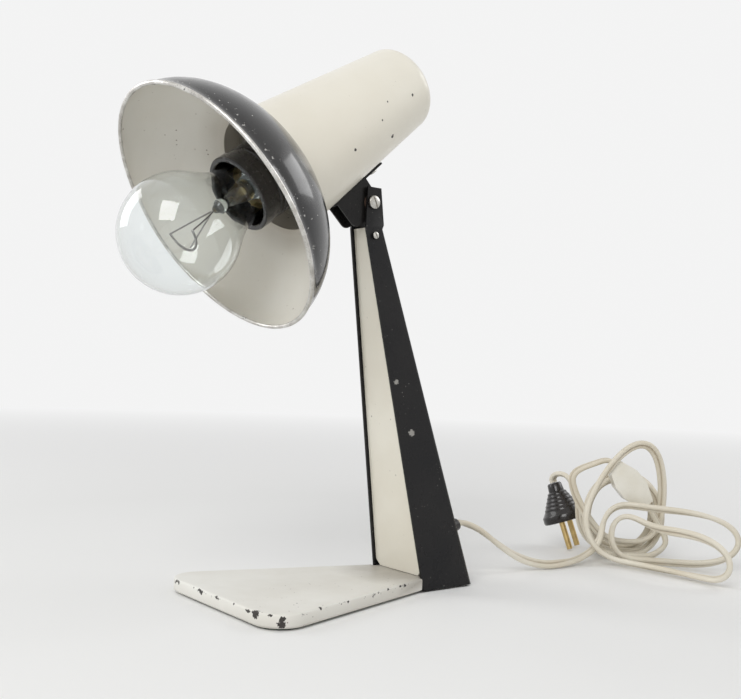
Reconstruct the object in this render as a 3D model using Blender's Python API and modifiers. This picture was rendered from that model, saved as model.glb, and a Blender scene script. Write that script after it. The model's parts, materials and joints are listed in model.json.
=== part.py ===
"""Bedside lamp: a leaning sheet metal column on a steel plate, with a tilting shade cup.

Metres, +Z up. The lamp faces -Y and is symmetric about X = 0. The origin is on the table, under
the front of the column's foot. The head is modelled in the frame of its pivot, where -Y is the
way the shade points and Z runs from the pivot to the axis of the shade.
"""

import math

import bmesh
import bpy
import numpy as np
from mathutils import Matrix, Vector

# Clearances and cutters
seat_gap = 0.0003
thread_gap = 0.0002
overrun = 0.004
weld_reach = 0.000001

# Base plate and its felt
felt_thickness = 0.0008
felt_inset = 0.003
plate_thickness = 0.0070
plate_length = 0.119
plate_front_width = 0.117
plate_rear_width = 0.0446
plate_corner_radius = 0.015
plate_edge_round = 0.0007
tongue_length = 0.031

# Column, a folded channel that leans forward and ends in two ears
sheet = 0.0012
fold_radius = 0.0022
foot_half_width = 0.0224
foot_depth = 0.0370
kink_height = 0.199
kink_lean = 0.0373
kink_depth = 0.0126
pivot_rise = 0.0138
pivot_height = kink_height + pivot_rise
pivot_behind = 0.0043
pivot_lean = kink_lean - pivot_behind
ear_half_width = 0.0073
ear_above_pivot = 0.0084
ear_top_height = pivot_height + ear_above_pivot
ear_behind = 0.0005
ear_top_lean = kink_lean - ear_behind
ear_top_depth = 0.0092
foot_tab_length = 0.026

# Front panel, recessed between the flanges
panel_sheet = 0.0010
panel_recess = 0.0016
panel_return = 0.0075
panel_chamfer = 0.0035

# Foot screws and nuts
foot_screw_spread = 0.022
foot_screw_place = 0.017
foot_screw_radius = 0.0020
foot_head_radius = 0.0040
foot_head_height = 0.0022
felt_hole_radius = 0.0052
m4_nut_width = 0.0070
m4_nut_height = 0.0030

# Screw through the flanges that holds the top of the panel
panel_screw_drop = 0.0042
panel_screw_height = kink_height - panel_screw_drop
panel_screw_behind = 0.0057
panel_screw_lean = kink_lean - panel_screw_behind
panel_screw_radius = 0.0010
panel_head_radius = 0.0019
panel_head_height = 0.0012
m2_nut_width = 0.0040
m2_nut_height = 0.0016

# Pivot
pivot_screw_radius = 0.0020
pivot_head_radius = 0.0036
pivot_head_height = 0.0022
friction_washer_radius = 0.0047
friction_washer_thickness = 0.0005
sleeve_radius = 0.0031
slot_width = 0.0009
slot_depth = 0.0009

# Head: its tilt at rest, and the distance from the pivot to the shade's axis
head_tilt = math.radians(36.2)
axis_height = 0.0428

# Shade cup; distances along the axis are counted forward from the pivot
cup_front = 0.0458
cup_rear = 0.0535
cup_front_radius = 0.0342
cup_rear_radius = 0.0239
cup_dome = 0.0129
cup_sheet = 0.0009

# Reflector bowl
bowl_rim_front = 0.0857
bowl_radius = 0.0677
bowl_depth = 0.0472
bowl_power = 1.9
bowl_sheet = 0.0009
bowl_bead_radius = 0.0011
neck_length = 0.0090

# Head bracket
bracket_sheet = 0.0010
bracket_front = 0.0207
bracket_rear = 0.0205
cheek_front_top = 0.0200
cheek_front_low = 0.0168
cheek_rear = 0.0046
cheek_low = 0.0066
cheek_corner = 0.0040
cheek_pivot_radius = 0.0064
bracket_screw_radius = 0.0015
bracket_head_radius = 0.0029
bracket_head_height = 0.0018
bracket_screw_rear = 0.0155
bracket_screw_front = 0.0140
m3_nut_width = 0.0055
m3_nut_height = 0.0024
lead_hole_radius = 0.0024
lead_hole_place = 0.0060

# Lampholder
holder_front = 0.0685
holder_radius = 0.0200
holder_wall = 0.0022
skirt_length = 0.0370
skirt_ring_radius = 0.0206
skirt_ring_length = 0.0060
cap_length = 0.0220
cap_rear_radius = 0.0098
cap_collar_length = 0.0050
cap_dome_share = 0.45
insert_thickness = 0.0080
shell_inner_radius = 0.0136
shell_wall = 0.0004
shell_length = 0.0210
contact_width = 0.0050
contact_length = 0.0100
contact_thickness = 0.0006
terminal_spread = 0.0180
terminal_radius = 0.0013
terminal_head_radius = 0.0024
terminal_head_height = 0.0014
nipple_radius = 0.0050
nipple_bore = 0.0038
lock_nut_width = 0.0140
lock_nut_height = 0.0030
holder_bracket_width = 0.0160
holder_bracket_sheet = 0.0012
upright_reach = 0.0080

# Bulb
bulb_length = 0.1050
bulb_radius = 0.0300
bulb_centre = 0.1070
bulb_sphere_sweep = math.radians(125)
bulb_neck_radius = 0.0160
bulb_neck_front = 0.0720
bulb_glass_wall = 0.0008
bulb_cap_start = 0.0355
bulb_cap_radius = 0.0130
bulb_cap_length = 0.0240
bulb_cap_wall = 0.0004
bulb_cap_seat = 0.0040
thread_depth = 0.0008
thread_turns = 5
insulator_radius = 0.0092
insulator_height = 0.0026
bulb_contact_radius = 0.0048
stem_radius = 0.0040
stem_waist_share = 0.6
stem_front = 0.0850
wire_radius = 0.0004
wire_spread = 0.0125
wire_front = 0.1060
filament_sag = 0.0100
filament_radius = 0.0006

# Cord, its bush, and the lead inside the column and the head
cord_radius = 0.0024
cord_exit_height = 0.0270
bush_radius = 0.0052
bush_flange_radius = 0.0070
bush_flange = 0.0018
bush_inside = 0.0048
bush_tail = 0.0156
bush_tail_radius = 0.0036
inner_lead_radius = 0.0018
lead_top_reach = 0.0088
lead_drop = 0.0016
lead_height_shares = (0.33, 0.66, 0.97)
clip_width = 0.0080
clip_length = 0.0070
clip_thickness = 0.0010
clip_height = 0.0500
clip_screw_radius = 0.0012
clip_head_radius = 0.0024
clip_head_height = 0.0012

# Free cord: its places from the bush to the bundle, by hand; the lead lies on the table
cord_lowest = 0.0030
lead_places = (
    (0.0, 0.0500, 0.0318),
    (0.0020, 0.0600, 0.0278),
    (0.0040, 0.0730, 0.0190),
    (0.0060, 0.0860, 0.0110),
    (0.0080, 0.0995, 0.0056),
    (0.0100, 0.1130, cord_lowest),
    (0.0110, 0.1276, cord_lowest),
    (0.0100, 0.1420, 0.0038),
)
lead_points = 26

# Bundle of cord. Places in it are to its right, over the table and ahead, seen from one side
bundle_place = (0.0180, 0.1820)
bundle_turn = math.radians(52.2)
bundle_height = 0.0280
bundle_tall_share = 1.1
floor_ease = 0.0012
loops_start = math.radians(195)
loops_turn_shares = (0, 0.25, 0.5, 0.8, 1, 1.25, 1.5, 1.8, 2.05, 2.3, 2.55, 2.8, 3.05, 3.2)
loops_ahead = (0.0075, 0.0130, 0.0110, 0.0105, 0.0140, 0.0260, 0.0220, 0.0190, 0.0160, 0.0105,
               -0.0025, -0.0020, 0.0005, 0.0020)
loops_radius = (0.0195, 0.0125, 0.0245, 0.0230, 0.0145, 0.0060, 0.0220, 0.0230, 0.0320, 0.0285,
                0.0220, 0.0140, 0.0235, 0.0255)
petal_turn_shares = ((0.50, 0.36), (1.52, 0.40), (2.36, 0.26), (3.16, 0.20))
petal_pulls = (
    (0.0390, -0.0125, 0.0200),
    (0.0180, -0.0165, 0.0580),
    (0.0, 0.0220, 0.0005),
    (-0.0185, 0.0125, 0.0015),
)
loops_join = (-0.0057, -0.0137, 0.0010)
loops_bend = (-0.0012, -0.0066, 0.0005)
wraps_start = math.radians(-10)
wraps_turn_shares = (0, 0.5, 1, 2, 3, 4, 4.5)
wraps_ahead = (0.0020, -0.0055, -0.0085, -0.0150, -0.0210, -0.0275, -0.0290)
wraps_radius = (0.0285, 0.0265, 0.0240, 0.0265, 0.0215, 0.0240, 0.0270)
tail_places = ((-0.0330, 0.0510, -0.0360), (-0.0395, 0.0525, -0.0435))
tail_points = 9

# In-line switch, between two places of the bundle
switch_start = (-0.0120, 0.0645, 0.0040)
switch_end = (0.0100, 0.0390, 0.0050)
switch_width = 0.0180
switch_end_width = 0.0090
switch_thickness = 0.0120
switch_flat = 0.0050
switch_corner = 0.0012
switch_edge = 0.0010
switch_room_length = 0.0170
switch_room_width = 0.0130
switch_wall = 0.0015
switch_roof = 0.0026
switch_channel_radius = 0.0019
switch_screw_place = 0.0112
switch_screw_offset = 0.0039
switch_screw_radius = 0.0009
switch_screw_depth = 0.0035
switch_head_radius = 0.0017
switch_head_height = 0.0012
switch_head_sink = 0.0018
rocker_length = 0.0124
rocker_width = 0.0070
rocker_room = 0.0006
rocker_pivot = 0.0043
rocker_rise = 0.0024
rocker_depth = 0.0015
rocker_rest = math.radians(7)
rocker_stem_length = 0.0030
rocker_stem_depth = 0.0050
trunnion_radius = 0.0009
trunnion_reach = 0.0048
contact_strip = 0.0050
contact_sheet = 0.0006

# Plug, standing on its pins behind the bundle
plug_place = (-0.0410, 0.0453, -0.0480)
plug_lean = (0.30, -0.94, 0.15)
plug_length = 0.0275
plug_radius = 0.0150
plug_grip_radius = 0.0125
plug_neck_radius = 0.0050
plug_neck_length = 0.0060
plug_edge = 0.0010
plug_rim = 0.0060
plug_pin_radius = 0.0020
plug_pin_length = 0.0190
plug_pin_seat = 0.0080
plug_pin_spread = 0.0190

# Colours as linear shares of full brightness
black_share = (0.012, 0.012, 0.013)
cream_share = (0.70, 0.68, 0.60)
white_share = (0.74, 0.73, 0.68)
steel_share = (0.55, 0.55, 0.55)
brass_share = (0.60, 0.45, 0.20)
bakelite_share = (0.010, 0.009, 0.009)
glass_share = (0.85, 0.88, 0.88)
felt_share = (0.05, 0.08, 0.06)
cord_share = (0.66, 0.63, 0.54)
fibre_share = (0.20, 0.10, 0.06)
porcelain_share = (0.75, 0.73, 0.68)

# Steps of round shapes
small_steps = 12
round_steps = 16
holder_steps = 20
bulb_steps = 24
cup_steps = 36
bowl_steps = 44
bowl_profile_steps = 8
arc_steps = 4
points_per_turn = 24

for old in list(bpy.data.objects):
    bpy.data.objects.remove(old, do_unlink=True)

lamp = bpy.data.collections.new("night_lamp")
cutters = bpy.data.collections.new("cutters")
bpy.context.scene.collection.children.link(lamp)
bpy.context.scene.collection.children.link(cutters)


def material(name, colour, roughness, metallic=0.0, alpha=1.0):
    """A Principled material."""
    made = bpy.data.materials.new(name)
    made.use_nodes = True
    shader = made.node_tree.nodes["Principled BSDF"]
    shader.inputs["Base Color"].default_value = (*colour, 1.0)
    shader.inputs["Roughness"].default_value = roughness
    shader.inputs["Metallic"].default_value = metallic
    shader.inputs["Alpha"].default_value = alpha
    return made


black_paint = material("black_paint", black_share, 0.30)
cream_paint = material("cream_paint", cream_share, 0.42)
white_paint = material("white_paint", white_share, 0.50)
bright_steel = material("bright_steel", steel_share, 0.28, 1.0)
brass = material("brass", brass_share, 0.35, 1.0)
bakelite = material("bakelite", bakelite_share, 0.22)
clear_glass = material("clear_glass", glass_share, 0.02, 0.0, 0.35)
felt = material("felt", felt_share, 0.95)
cord_plastic = material("cord_plastic", cord_share, 0.45)
fibre = material("fibre", fibre_share, 0.80)
porcelain = material("porcelain", porcelain_share, 0.35)


def empty(name, location, rotation=(0.0, 0.0, 0.0), parent=None):
    """An empty that carries the pieces of one frame."""
    made = bpy.data.objects.new(name, None)
    made.location = location
    made.rotation_euler = rotation
    made.parent = parent
    lamp.objects.link(made)
    return made


def part(name, data, paint, parent=None, location=(0, 0, 0), rotation=(0, 0, 0)):
    """A piece of the lamp."""
    made = bpy.data.objects.new(name, data)
    made.location = location
    made.rotation_euler = rotation
    made.parent = parent
    if paint is not None:
        made.data.materials.append(paint)
    lamp.objects.link(made)
    return made


def as_cutter(made):
    """Turns a piece into a hidden cutter."""
    lamp.objects.unlink(made)
    cutters.objects.link(made)
    made.display_type = "WIRE"
    made.hide_render = True
    return made


def boolean(target, tool, operation="DIFFERENCE"):
    """Cuts or joins with the exact solver."""
    modifier = target.modifiers.new(operation.lower() + "_" + tool.name, "BOOLEAN")
    modifier.operation = operation
    modifier.solver = "EXACT"
    modifier.object = tool


def finish_mesh(work, name):
    """Writes a bmesh out as a mesh with outward faces."""
    bmesh.ops.recalc_face_normals(work, faces=work.faces)
    mesh = bpy.data.meshes.new(name)
    work.to_mesh(mesh)
    work.free()
    return mesh


def box_mesh(name, low, high):
    """A box between two corners, from the cube primitive."""
    work = bmesh.new()
    bmesh.ops.create_cube(work, size=1.0)
    size = Vector(high) - Vector(low)
    middle = (Vector(high) + Vector(low)) / 2
    bmesh.ops.transform(
        work,
        matrix=Matrix.Translation(middle) @ Matrix.Diagonal((*size, 1.0)),
        verts=work.verts,
    )
    return finish_mesh(work, name)


def rod_mesh(name, radius, low, high, steps=round_steps):
    """A cylinder along Z between two heights."""
    work = bmesh.new()
    bmesh.ops.create_cone(
        work, cap_ends=True, segments=steps, radius1=radius, radius2=radius, depth=high - low
    )
    bmesh.ops.translate(work, vec=(0, 0, (high + low) / 2), verts=work.verts)
    mesh = finish_mesh(work, name)
    mesh.shade_smooth()
    mesh.set_sharp_from_angle(angle=math.radians(40))
    return mesh


def outline_mesh(name, points, thickness):
    """A flat plate in XY, from a filled curve; its lower face is at Z = 0."""
    curve = bpy.data.curves.new(name, "CURVE")
    curve.dimensions = "2D"
    curve.fill_mode = "BOTH"
    curve.extrude = thickness / 2
    spline = curve.splines.new("POLY")
    spline.points.add(len(points) - 1)
    for point, place in zip(spline.points, points):
        point.co = (place[0], place[1], 0.0, 1.0)
    spline.use_cyclic_u = True
    holder = bpy.data.objects.new(name + "_outline", curve)
    lamp.objects.link(holder)
    bpy.context.view_layer.update()
    evaluated = holder.evaluated_get(bpy.context.evaluated_depsgraph_get())
    mesh = bpy.data.meshes.new_from_object(evaluated)
    work = bmesh.new()
    work.from_mesh(mesh)
    bmesh.ops.remove_doubles(work, verts=work.verts, dist=weld_reach)
    bmesh.ops.translate(work, vec=(0, 0, thickness / 2), verts=work.verts)
    bpy.data.objects.remove(holder, do_unlink=True)
    bpy.data.meshes.remove(mesh)
    return finish_mesh(work, name)


def fillet(before, corner, after, radius, steps=arc_steps):
    """Points of an arc that rounds a corner of an outline."""
    corner = Vector(corner)
    first = (Vector(before) - corner).normalized()
    second = (Vector(after) - corner).normalized()
    half = first.angle(second) / 2
    centre = corner + (first + second).normalized() * (radius / math.sin(half))
    start = corner + first * (radius / math.tan(half)) - centre
    end = corner + second * (radius / math.tan(half)) - centre
    sweep = math.pi - 2 * half
    points = []
    for step in range(steps + 1):
        share = step / steps
        blend = start * math.sin((1 - share) * sweep) + end * math.sin(share * sweep)
        place = centre + blend / math.sin(sweep)
        points.append((place.x, place.y))
    return points


def turned(name, profile, paint, closed=False, steps=round_steps, parent=None,
           location=(0, 0, 0), rotation=(0, 0, 0)):
    """A turned piece about Z. The profile holds (radius, height) and runs down its outer side."""
    mesh = bpy.data.meshes.new(name)
    count = len(profile)
    edges = [(index, index + 1) for index in range(count - 1)]
    if closed:
        edges.append((count - 1, 0))
    mesh.from_pydata([(radius, 0, height) for radius, height in profile], edges, [])
    made = part(name, mesh, paint, parent, location, rotation)
    screw = made.modifiers.new("turn", "SCREW")
    screw.steps = steps
    screw.render_steps = steps
    screw.use_smooth_shade = True
    screw.use_merge_vertices = True
    screw.merge_threshold = weld_reach
    return made


def tube_curve(name, points, radius, resolution=2):
    """A tube with filled caps along a list of points."""
    curve = bpy.data.curves.new(name, "CURVE")
    curve.dimensions = "3D"
    curve.bevel_depth = radius
    curve.bevel_resolution = resolution
    curve.use_fill_caps = True
    spline = curve.splines.new("POLY")
    spline.points.add(len(points) - 1)
    for point, place in zip(spline.points, points):
        point.co = (*place, 1.0)
    return curve


def smooth_route(places, count):
    """Points at even steps along a Catmull-Rom curve through the given places."""
    places = [np.array(place, float) for place in places]
    ends = [2 * places[0] - places[1]] + places + [2 * places[-1] - places[-2]]
    fine = []
    for index in range(1, len(ends) - 2):
        before, start, end, after = ends[index - 1:index + 3]
        for share in np.linspace(0, 1, 24, endpoint=False):
            fine.append(0.5 * (
                2 * start + (end - before) * share
                + (2 * before - 5 * start + 4 * end - after) * share ** 2
                + (3 * start - before - 3 * end + after) * share ** 3
            ))
    fine.append(places[-1])
    fine = np.array(fine)
    along = np.concatenate([[0], np.cumsum(np.linalg.norm(np.diff(fine, axis=0), axis=1))])
    at = np.linspace(0, along[-1], count)
    return np.stack([np.interp(at, along, fine[:, axis]) for axis in range(3)], axis=1)


def hex_nut(name, width, height, bore, paint, parent, location, rotation):
    """A hexagonal nut on Z = 0, with its bore."""
    work = bmesh.new()
    corner_radius = width / 2 / math.cos(math.radians(30))
    bmesh.ops.create_cone(
        work, cap_ends=True, segments=6, radius1=corner_radius, radius2=corner_radius, depth=height
    )
    bmesh.ops.translate(work, vec=(0, 0, height / 2), verts=work.verts)
    made = part(name, finish_mesh(work, name), paint, parent, location, rotation)
    tool = part(name + "_bore", rod_mesh(name + "_bore", bore, -overrun, height + overrun), None,
                parent, location, rotation)
    boolean(made, as_cutter(tool))
    return made


def slotted_screw(name, head_radius, head_height, shank_radius, length, paint, parent,
                  location, rotation, dome_share=0.45):
    """A screw whose head lies above Z = 0 and whose shank points down."""
    edge = head_height * (1 - dome_share)
    profile = [(0, head_height)]
    for step in range(1, arc_steps + 1):
        angle = math.pi / 2 * step / arc_steps
        profile.append((
            head_radius * math.sin(angle),
            edge + (head_height - edge) * math.cos(angle),
        ))
    profile += [(head_radius, 0), (shank_radius, 0), (shank_radius, -length), (0, -length)]
    made = turned(name, profile, paint, parent=parent, location=location, rotation=rotation)
    tool = part(
        name + "_slot",
        box_mesh(
            name + "_slot",
            (-head_radius - overrun, -slot_width / 2, head_height - slot_depth),
            (head_radius + overrun, slot_width / 2, head_height + overrun),
        ),
        None, parent, location, rotation,
    )
    boolean(made, as_cutter(tool))
    return made


def drill(target, name, radius, low, high, parent=None, location=(0, 0, 0), rotation=(0, 0, 0)):
    """Cuts a round hole along the local Z of the given placement."""
    tool = part(name, rod_mesh(name, radius, low, high), None, parent, location, rotation)
    boolean(target, as_cutter(tool))


# Frames. Turned pieces that point along +X, and pieces of the head.
along_x = (0.0, math.radians(90), 0.0)
against_x = (0.0, math.radians(-90), 0.0)
root_frame = empty("lamp_root", (0, 0, 0))
head_pivot = empty("head_pivot", (0, -pivot_lean, pivot_height), (head_tilt, 0, 0))
shade_axis = empty("shade_axis", (0, 0, axis_height), (math.radians(90), 0, 0), head_pivot)


def column_front(height):
    """Y of the flanges' front edge at a height."""
    if height <= kink_height:
        return -kink_lean * height / kink_height
    share = (height - kink_height) / (ear_top_height - kink_height)
    return -kink_lean + (kink_lean - ear_top_lean) * share


def column_rear(height):
    """Y of the outer face of the web, and of the ears' rear edge above the kink."""
    kink_rear = kink_depth - kink_lean
    if height <= kink_height:
        return foot_depth + (kink_rear - foot_depth) * height / kink_height
    share = (height - kink_height) / (ear_top_height - kink_height)
    return kink_rear + (ear_top_depth - ear_top_lean - kink_rear) * share


def column_half_width(height):
    """Half the width over the flanges at a height."""
    if height >= kink_height:
        return ear_half_width
    return foot_half_width + (ear_half_width - foot_half_width) * height / kink_height


# The web's outward direction, and the places of the cord's exit and the clip's screw on it
web_lean = math.atan2(foot_depth + kink_lean - kink_depth, kink_height)
web_turn = (web_lean - math.radians(90), 0, 0)
web_out = Vector((0, math.cos(web_lean), math.sin(web_lean)))
exit_point = Vector((0, column_rear(cord_exit_height), cord_exit_height))
clip_point = Vector((clip_width, column_rear(clip_height), clip_height))

plate_bottom = felt_thickness + seat_gap
plate_top = plate_bottom + plate_thickness
foot_level = plate_bottom
tab_bottom = plate_top + seat_gap
tab_top = tab_bottom + sheet
tongue_half_width = column_half_width(plate_top) - sheet - 2 * seat_gap
foot_screw_half_spread = foot_screw_spread / 2


def plate_outline(inset, tongue_reach):
    """The base plate's outline, drawn in by an inset."""
    half_rear = plate_rear_width / 2
    half_front = plate_front_width / 2
    slope = (half_front - half_rear) / plate_length
    front = -plate_length + inset
    rear = column_front(plate_top) - seat_gap
    inset_side = inset * math.sqrt(1 + slope * slope)
    corner = (half_rear - slope * front - inset_side, front)
    rear_corner = (half_rear - slope * rear - inset_side, rear - inset)
    rounded = fillet(rear_corner, corner, (0, front), plate_corner_radius - inset)
    tongue = tongue_half_width - inset
    side = [(tongue, tongue_reach), (tongue, rear - inset), rear_corner] + rounded
    return side + [(-x, y) for x, y in reversed(side)]


def build_base():
    """The felt, the steel plate with its tongue, and the screws in the tongue."""
    pad = part("base_felt", outline_mesh("base_felt",
               plate_outline(felt_inset, tongue_length - felt_inset), felt_thickness), felt)
    plate = part("base_plate", outline_mesh("base_plate",
                 plate_outline(0.0, tongue_length), plate_thickness), white_paint,
                 location=(0, 0, plate_bottom))
    bevel = plate.modifiers.new("edges", "BEVEL")
    bevel.width = plate_edge_round
    bevel.segments = 2
    bevel.limit_method = "ANGLE"
    bevel.angle_limit = math.radians(40)
    for side, name in ((-1, "left"), (1, "right")):
        place = (side * foot_screw_half_spread, foot_screw_place, 0)
        drill(pad, "felt_hole_" + name, felt_hole_radius, -overrun, overrun, location=place)
        drill(plate, "plate_hole_" + name, foot_screw_radius + thread_gap,
              -overrun, plate_top + overrun, location=place)
        sink_radius = foot_head_radius + seat_gap
        sink = turned("plate_sink_" + name, [
            (0, foot_head_height + seat_gap),
            (foot_screw_radius + thread_gap, foot_head_height + seat_gap),
            (sink_radius, seat_gap),
            (sink_radius, -overrun),
            (0, -overrun),
        ], None, location=(place[0], place[1], plate_bottom))
        boolean(plate, as_cutter(sink))
        shank_top = tab_top + seat_gap + m4_nut_height - plate_bottom
        turned("foot_screw_" + name, [
            (0, shank_top),
            (foot_screw_radius, shank_top),
            (foot_screw_radius, foot_head_height),
            (foot_head_radius, seat_gap),
            (foot_head_radius, 0),
            (0, 0),
        ], bright_steel, location=(place[0], place[1], plate_bottom))
        hex_nut("foot_nut_" + name, m4_nut_width, m4_nut_height, foot_screw_radius + thread_gap,
                bright_steel, None, (place[0], place[1], tab_top + seat_gap), (0, 0, 0))


def loft_mesh(name, sections):
    """A closed solid through rectangular sections (height, half width, front, rear)."""
    work = bmesh.new()
    rings = []
    for height, half, front, rear in sections:
        rings.append([
            work.verts.new((-half, front, height)),
            work.verts.new((half, front, height)),
            work.verts.new((half, rear, height)),
            work.verts.new((-half, rear, height)),
        ])
    work.faces.new(list(reversed(rings[0])))
    work.faces.new(rings[-1])
    for lower, upper in zip(rings, rings[1:]):
        for index in range(4):
            after = (index + 1) % 4
            work.faces.new((lower[index], lower[after], upper[after], upper[index]))
    return work


def round_rear_folds(work, radius, top):
    """Rounds the long rear edges below a height, as a fold does."""
    long_edges = []
    for edge in work.edges:
        first, second = edge.verts
        rear_side = all(
            abs(vert.co.y - max(other.co.y for other in work.verts
                                if abs(other.co.z - vert.co.z) < seat_gap)) < seat_gap
            for vert in (first, second)
        )
        upright = abs(first.co.z - second.co.z) > radius
        if rear_side and upright and max(first.co.z, second.co.z) < top:
            long_edges.append(edge)
    bmesh.ops.bevel(work, geom=long_edges, offset=radius, segments=3, profile=0.5, affect="EDGES")


def section(height, side_wall=0.0, rear_wall=0.0, front_extra=0.0, rear_extra=0.0):
    """One section of the column, drawn in by its walls."""
    return (
        height,
        column_half_width(height) - side_wall,
        column_front(height) - front_extra,
        column_rear(height) - rear_wall + rear_extra,
    )


def build_column():
    """The folded channel with its foot tab and ears."""
    work = loft_mesh("column", [section(foot_level), section(kink_height),
                                section(ear_top_height)])
    round_rear_folds(work, fold_radius, kink_height + seat_gap)
    column = part("column", finish_mesh(work, "column"), black_paint, root_frame)
    inner_tops = (tab_top, kink_height)
    work = loft_mesh("column_inside", [
        section(height, sheet, sheet, front_extra=overrun) for height in inner_tops
    ])
    round_rear_folds(work, fold_radius - sheet, kink_height + seat_gap)
    inside = part("column_inside", finish_mesh(work, "column_inside"), None, root_frame)
    boolean(column, as_cutter(inside))
    between = part("ears_inside", finish_mesh(loft_mesh("ears_inside", [
        section(kink_height - seat_gap, sheet, front_extra=overrun, rear_extra=overrun),
        section(ear_top_height + overrun, sheet, front_extra=overrun, rear_extra=overrun),
    ]), "ears_inside"), None, root_frame)
    boolean(column, as_cutter(between))
    under = part("tongue_room", finish_mesh(loft_mesh("tongue_room", [
        section(foot_level - overrun, sheet, sheet, front_extra=overrun),
        section(tab_bottom, sheet, sheet, front_extra=overrun),
    ]), "tongue_room"), None, root_frame)
    boolean(column, as_cutter(under))
    tab_front = part("tab_front_cut", box_mesh(
        "tab_front_cut",
        (-foot_half_width + 2 * sheet, -foot_depth, tab_bottom - overrun),
        (foot_half_width - 2 * sheet, column_rear(tab_top) - sheet - foot_tab_length,
         tab_top + overrun),
    ), None, root_frame)
    boolean(column, as_cutter(tab_front))
    for side, name in ((-1, "left"), (1, "right")):
        drill(column, "tab_hole_" + name, foot_screw_radius + thread_gap, tab_bottom - overrun / 2,
              tab_top + overrun / 2,
              location=(side * foot_screw_half_spread, foot_screw_place, 0))
    drill(column, "pivot_hole", pivot_screw_radius + thread_gap, -foot_half_width, foot_half_width,
          location=(0, -pivot_lean, pivot_height), rotation=along_x)
    drill(column, "panel_screw_hole", panel_screw_radius + thread_gap, -foot_half_width,
          foot_half_width, location=(0, -panel_screw_lean, panel_screw_height), rotation=along_x)
    drill(column, "bush_hole", bush_radius + seat_gap, -overrun, overrun,
          location=exit_point, rotation=web_turn)
    drill(column, "clip_hole", clip_screw_radius + thread_gap, -overrun, overrun,
          location=clip_point, rotation=web_turn)
    return column


def build_panel():
    """The cream panel, an open folded sheet made solid."""
    low = plate_top + seat_gap
    high = kink_height
    recess = panel_recess

    def half(height):
        return column_half_width(height) - sheet - seat_gap

    def front(height):
        return column_front(height) + recess

    corner = low + panel_chamfer
    work = bmesh.new()
    heights = (low, corner, high)
    rows = {}
    for sign in (-1, 1):
        rows[sign] = [
            work.verts.new((sign * (half(low) - panel_chamfer), front(low), low)),
            work.verts.new((sign * half(corner), front(corner), heights[1])),
            work.verts.new((sign * half(high), front(high), high)),
        ]
        back = [
            work.verts.new((sign * half(corner), front(corner) + panel_return, heights[1])),
            work.verts.new((sign * half(high), front(high) + panel_return, high)),
        ]
        side = (rows[sign][1], rows[sign][2], back[1], back[0])
        work.faces.new(side if sign < 0 else tuple(reversed(side)))
    work.faces.new((
        rows[-1][0], rows[1][0], rows[1][1], rows[1][2], rows[-1][2], rows[-1][1],
    ))
    mesh = bpy.data.meshes.new("front_panel")
    work.to_mesh(mesh)
    work.free()
    panel = part("front_panel", mesh, cream_paint, root_frame)
    solid = panel.modifiers.new("sheet", "SOLIDIFY")
    solid.thickness = panel_sheet
    solid.offset = -1.0
    solid.use_even_offset = True
    drill(panel, "panel_cross_hole", panel_screw_radius + thread_gap, -foot_half_width,
          foot_half_width, location=(0, -panel_screw_lean, panel_screw_height), rotation=along_x)
    return panel


def build_cross_screws():
    """The panel screw and the pivot screw with their nuts and washers."""
    half = column_half_width(panel_screw_height) + seat_gap * 2
    place = Vector((0, -panel_screw_lean, panel_screw_height))
    slotted_screw("panel_screw", panel_head_radius, panel_head_height, panel_screw_radius,
                  2 * half + m2_nut_height, bright_steel, None,
                  place + Vector((half, 0, 0)), along_x)
    hex_nut("panel_nut", m2_nut_width, m2_nut_height, panel_screw_radius + thread_gap,
            bright_steel, None, place - Vector((half, 0, 0)), against_x)
    half = ear_half_width + seat_gap
    place = Vector((0, -pivot_lean, pivot_height))
    slotted_screw("pivot_screw", pivot_head_radius, pivot_head_height, pivot_screw_radius,
                  2 * half + m4_nut_height, bright_steel, None,
                  place + Vector((half, 0, 0)), along_x)
    hex_nut("pivot_nut", m4_nut_width, m4_nut_height, pivot_screw_radius + thread_gap,
            bright_steel, None, place - Vector((half, 0, 0)), against_x)
    start = ear_half_width - sheet - seat_gap - friction_washer_thickness
    for side, name in ((-1, "left"), (1, "right")):
        ring(
            "friction_washer_" + name, friction_washer_radius, pivot_screw_radius + thread_gap,
            0.0, friction_washer_thickness, fibre, None, place + Vector((side * start, 0, 0)),
            along_x if side > 0 else against_x,
        )


def ring(name, outer, inner, low, high, paint, parent, location, rotation, steps=round_steps):
    """A plain ring or tube about Z."""
    profile = [(inner, high), (outer, high), (outer, low), (inner, low)]
    return turned(name, profile, paint, True, steps, parent, location, rotation)


def cup_radius(forward):
    """The cup's outer radius at a distance forward of the pivot."""
    share = (forward + cup_rear) / (cup_front + cup_rear)
    return cup_rear_radius + (cup_front_radius - cup_rear_radius) * share


def cup_profile(inset):
    """The cup's outline from its mouth to the middle of its domed end."""
    points = [(cup_radius(cup_front) - inset, cup_front), (cup_rear_radius - inset, -cup_rear)]
    for step in range(1, 2 * arc_steps + 1):
        angle = math.pi / 2 * step / (2 * arc_steps)
        points.append((
            (cup_rear_radius - inset) * math.cos(angle),
            -cup_rear - (cup_dome - inset) * math.sin(angle),
        ))
    points[-1] = (0.0, points[-1][1])
    return points


def bowl_forward(radius):
    """How far forward the bowl's outer face is at a radius."""
    share = min(radius / bowl_radius, 1.0)
    return bowl_rim_front - bowl_depth * (1 - share ** bowl_power) ** (1 / bowl_power)


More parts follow.
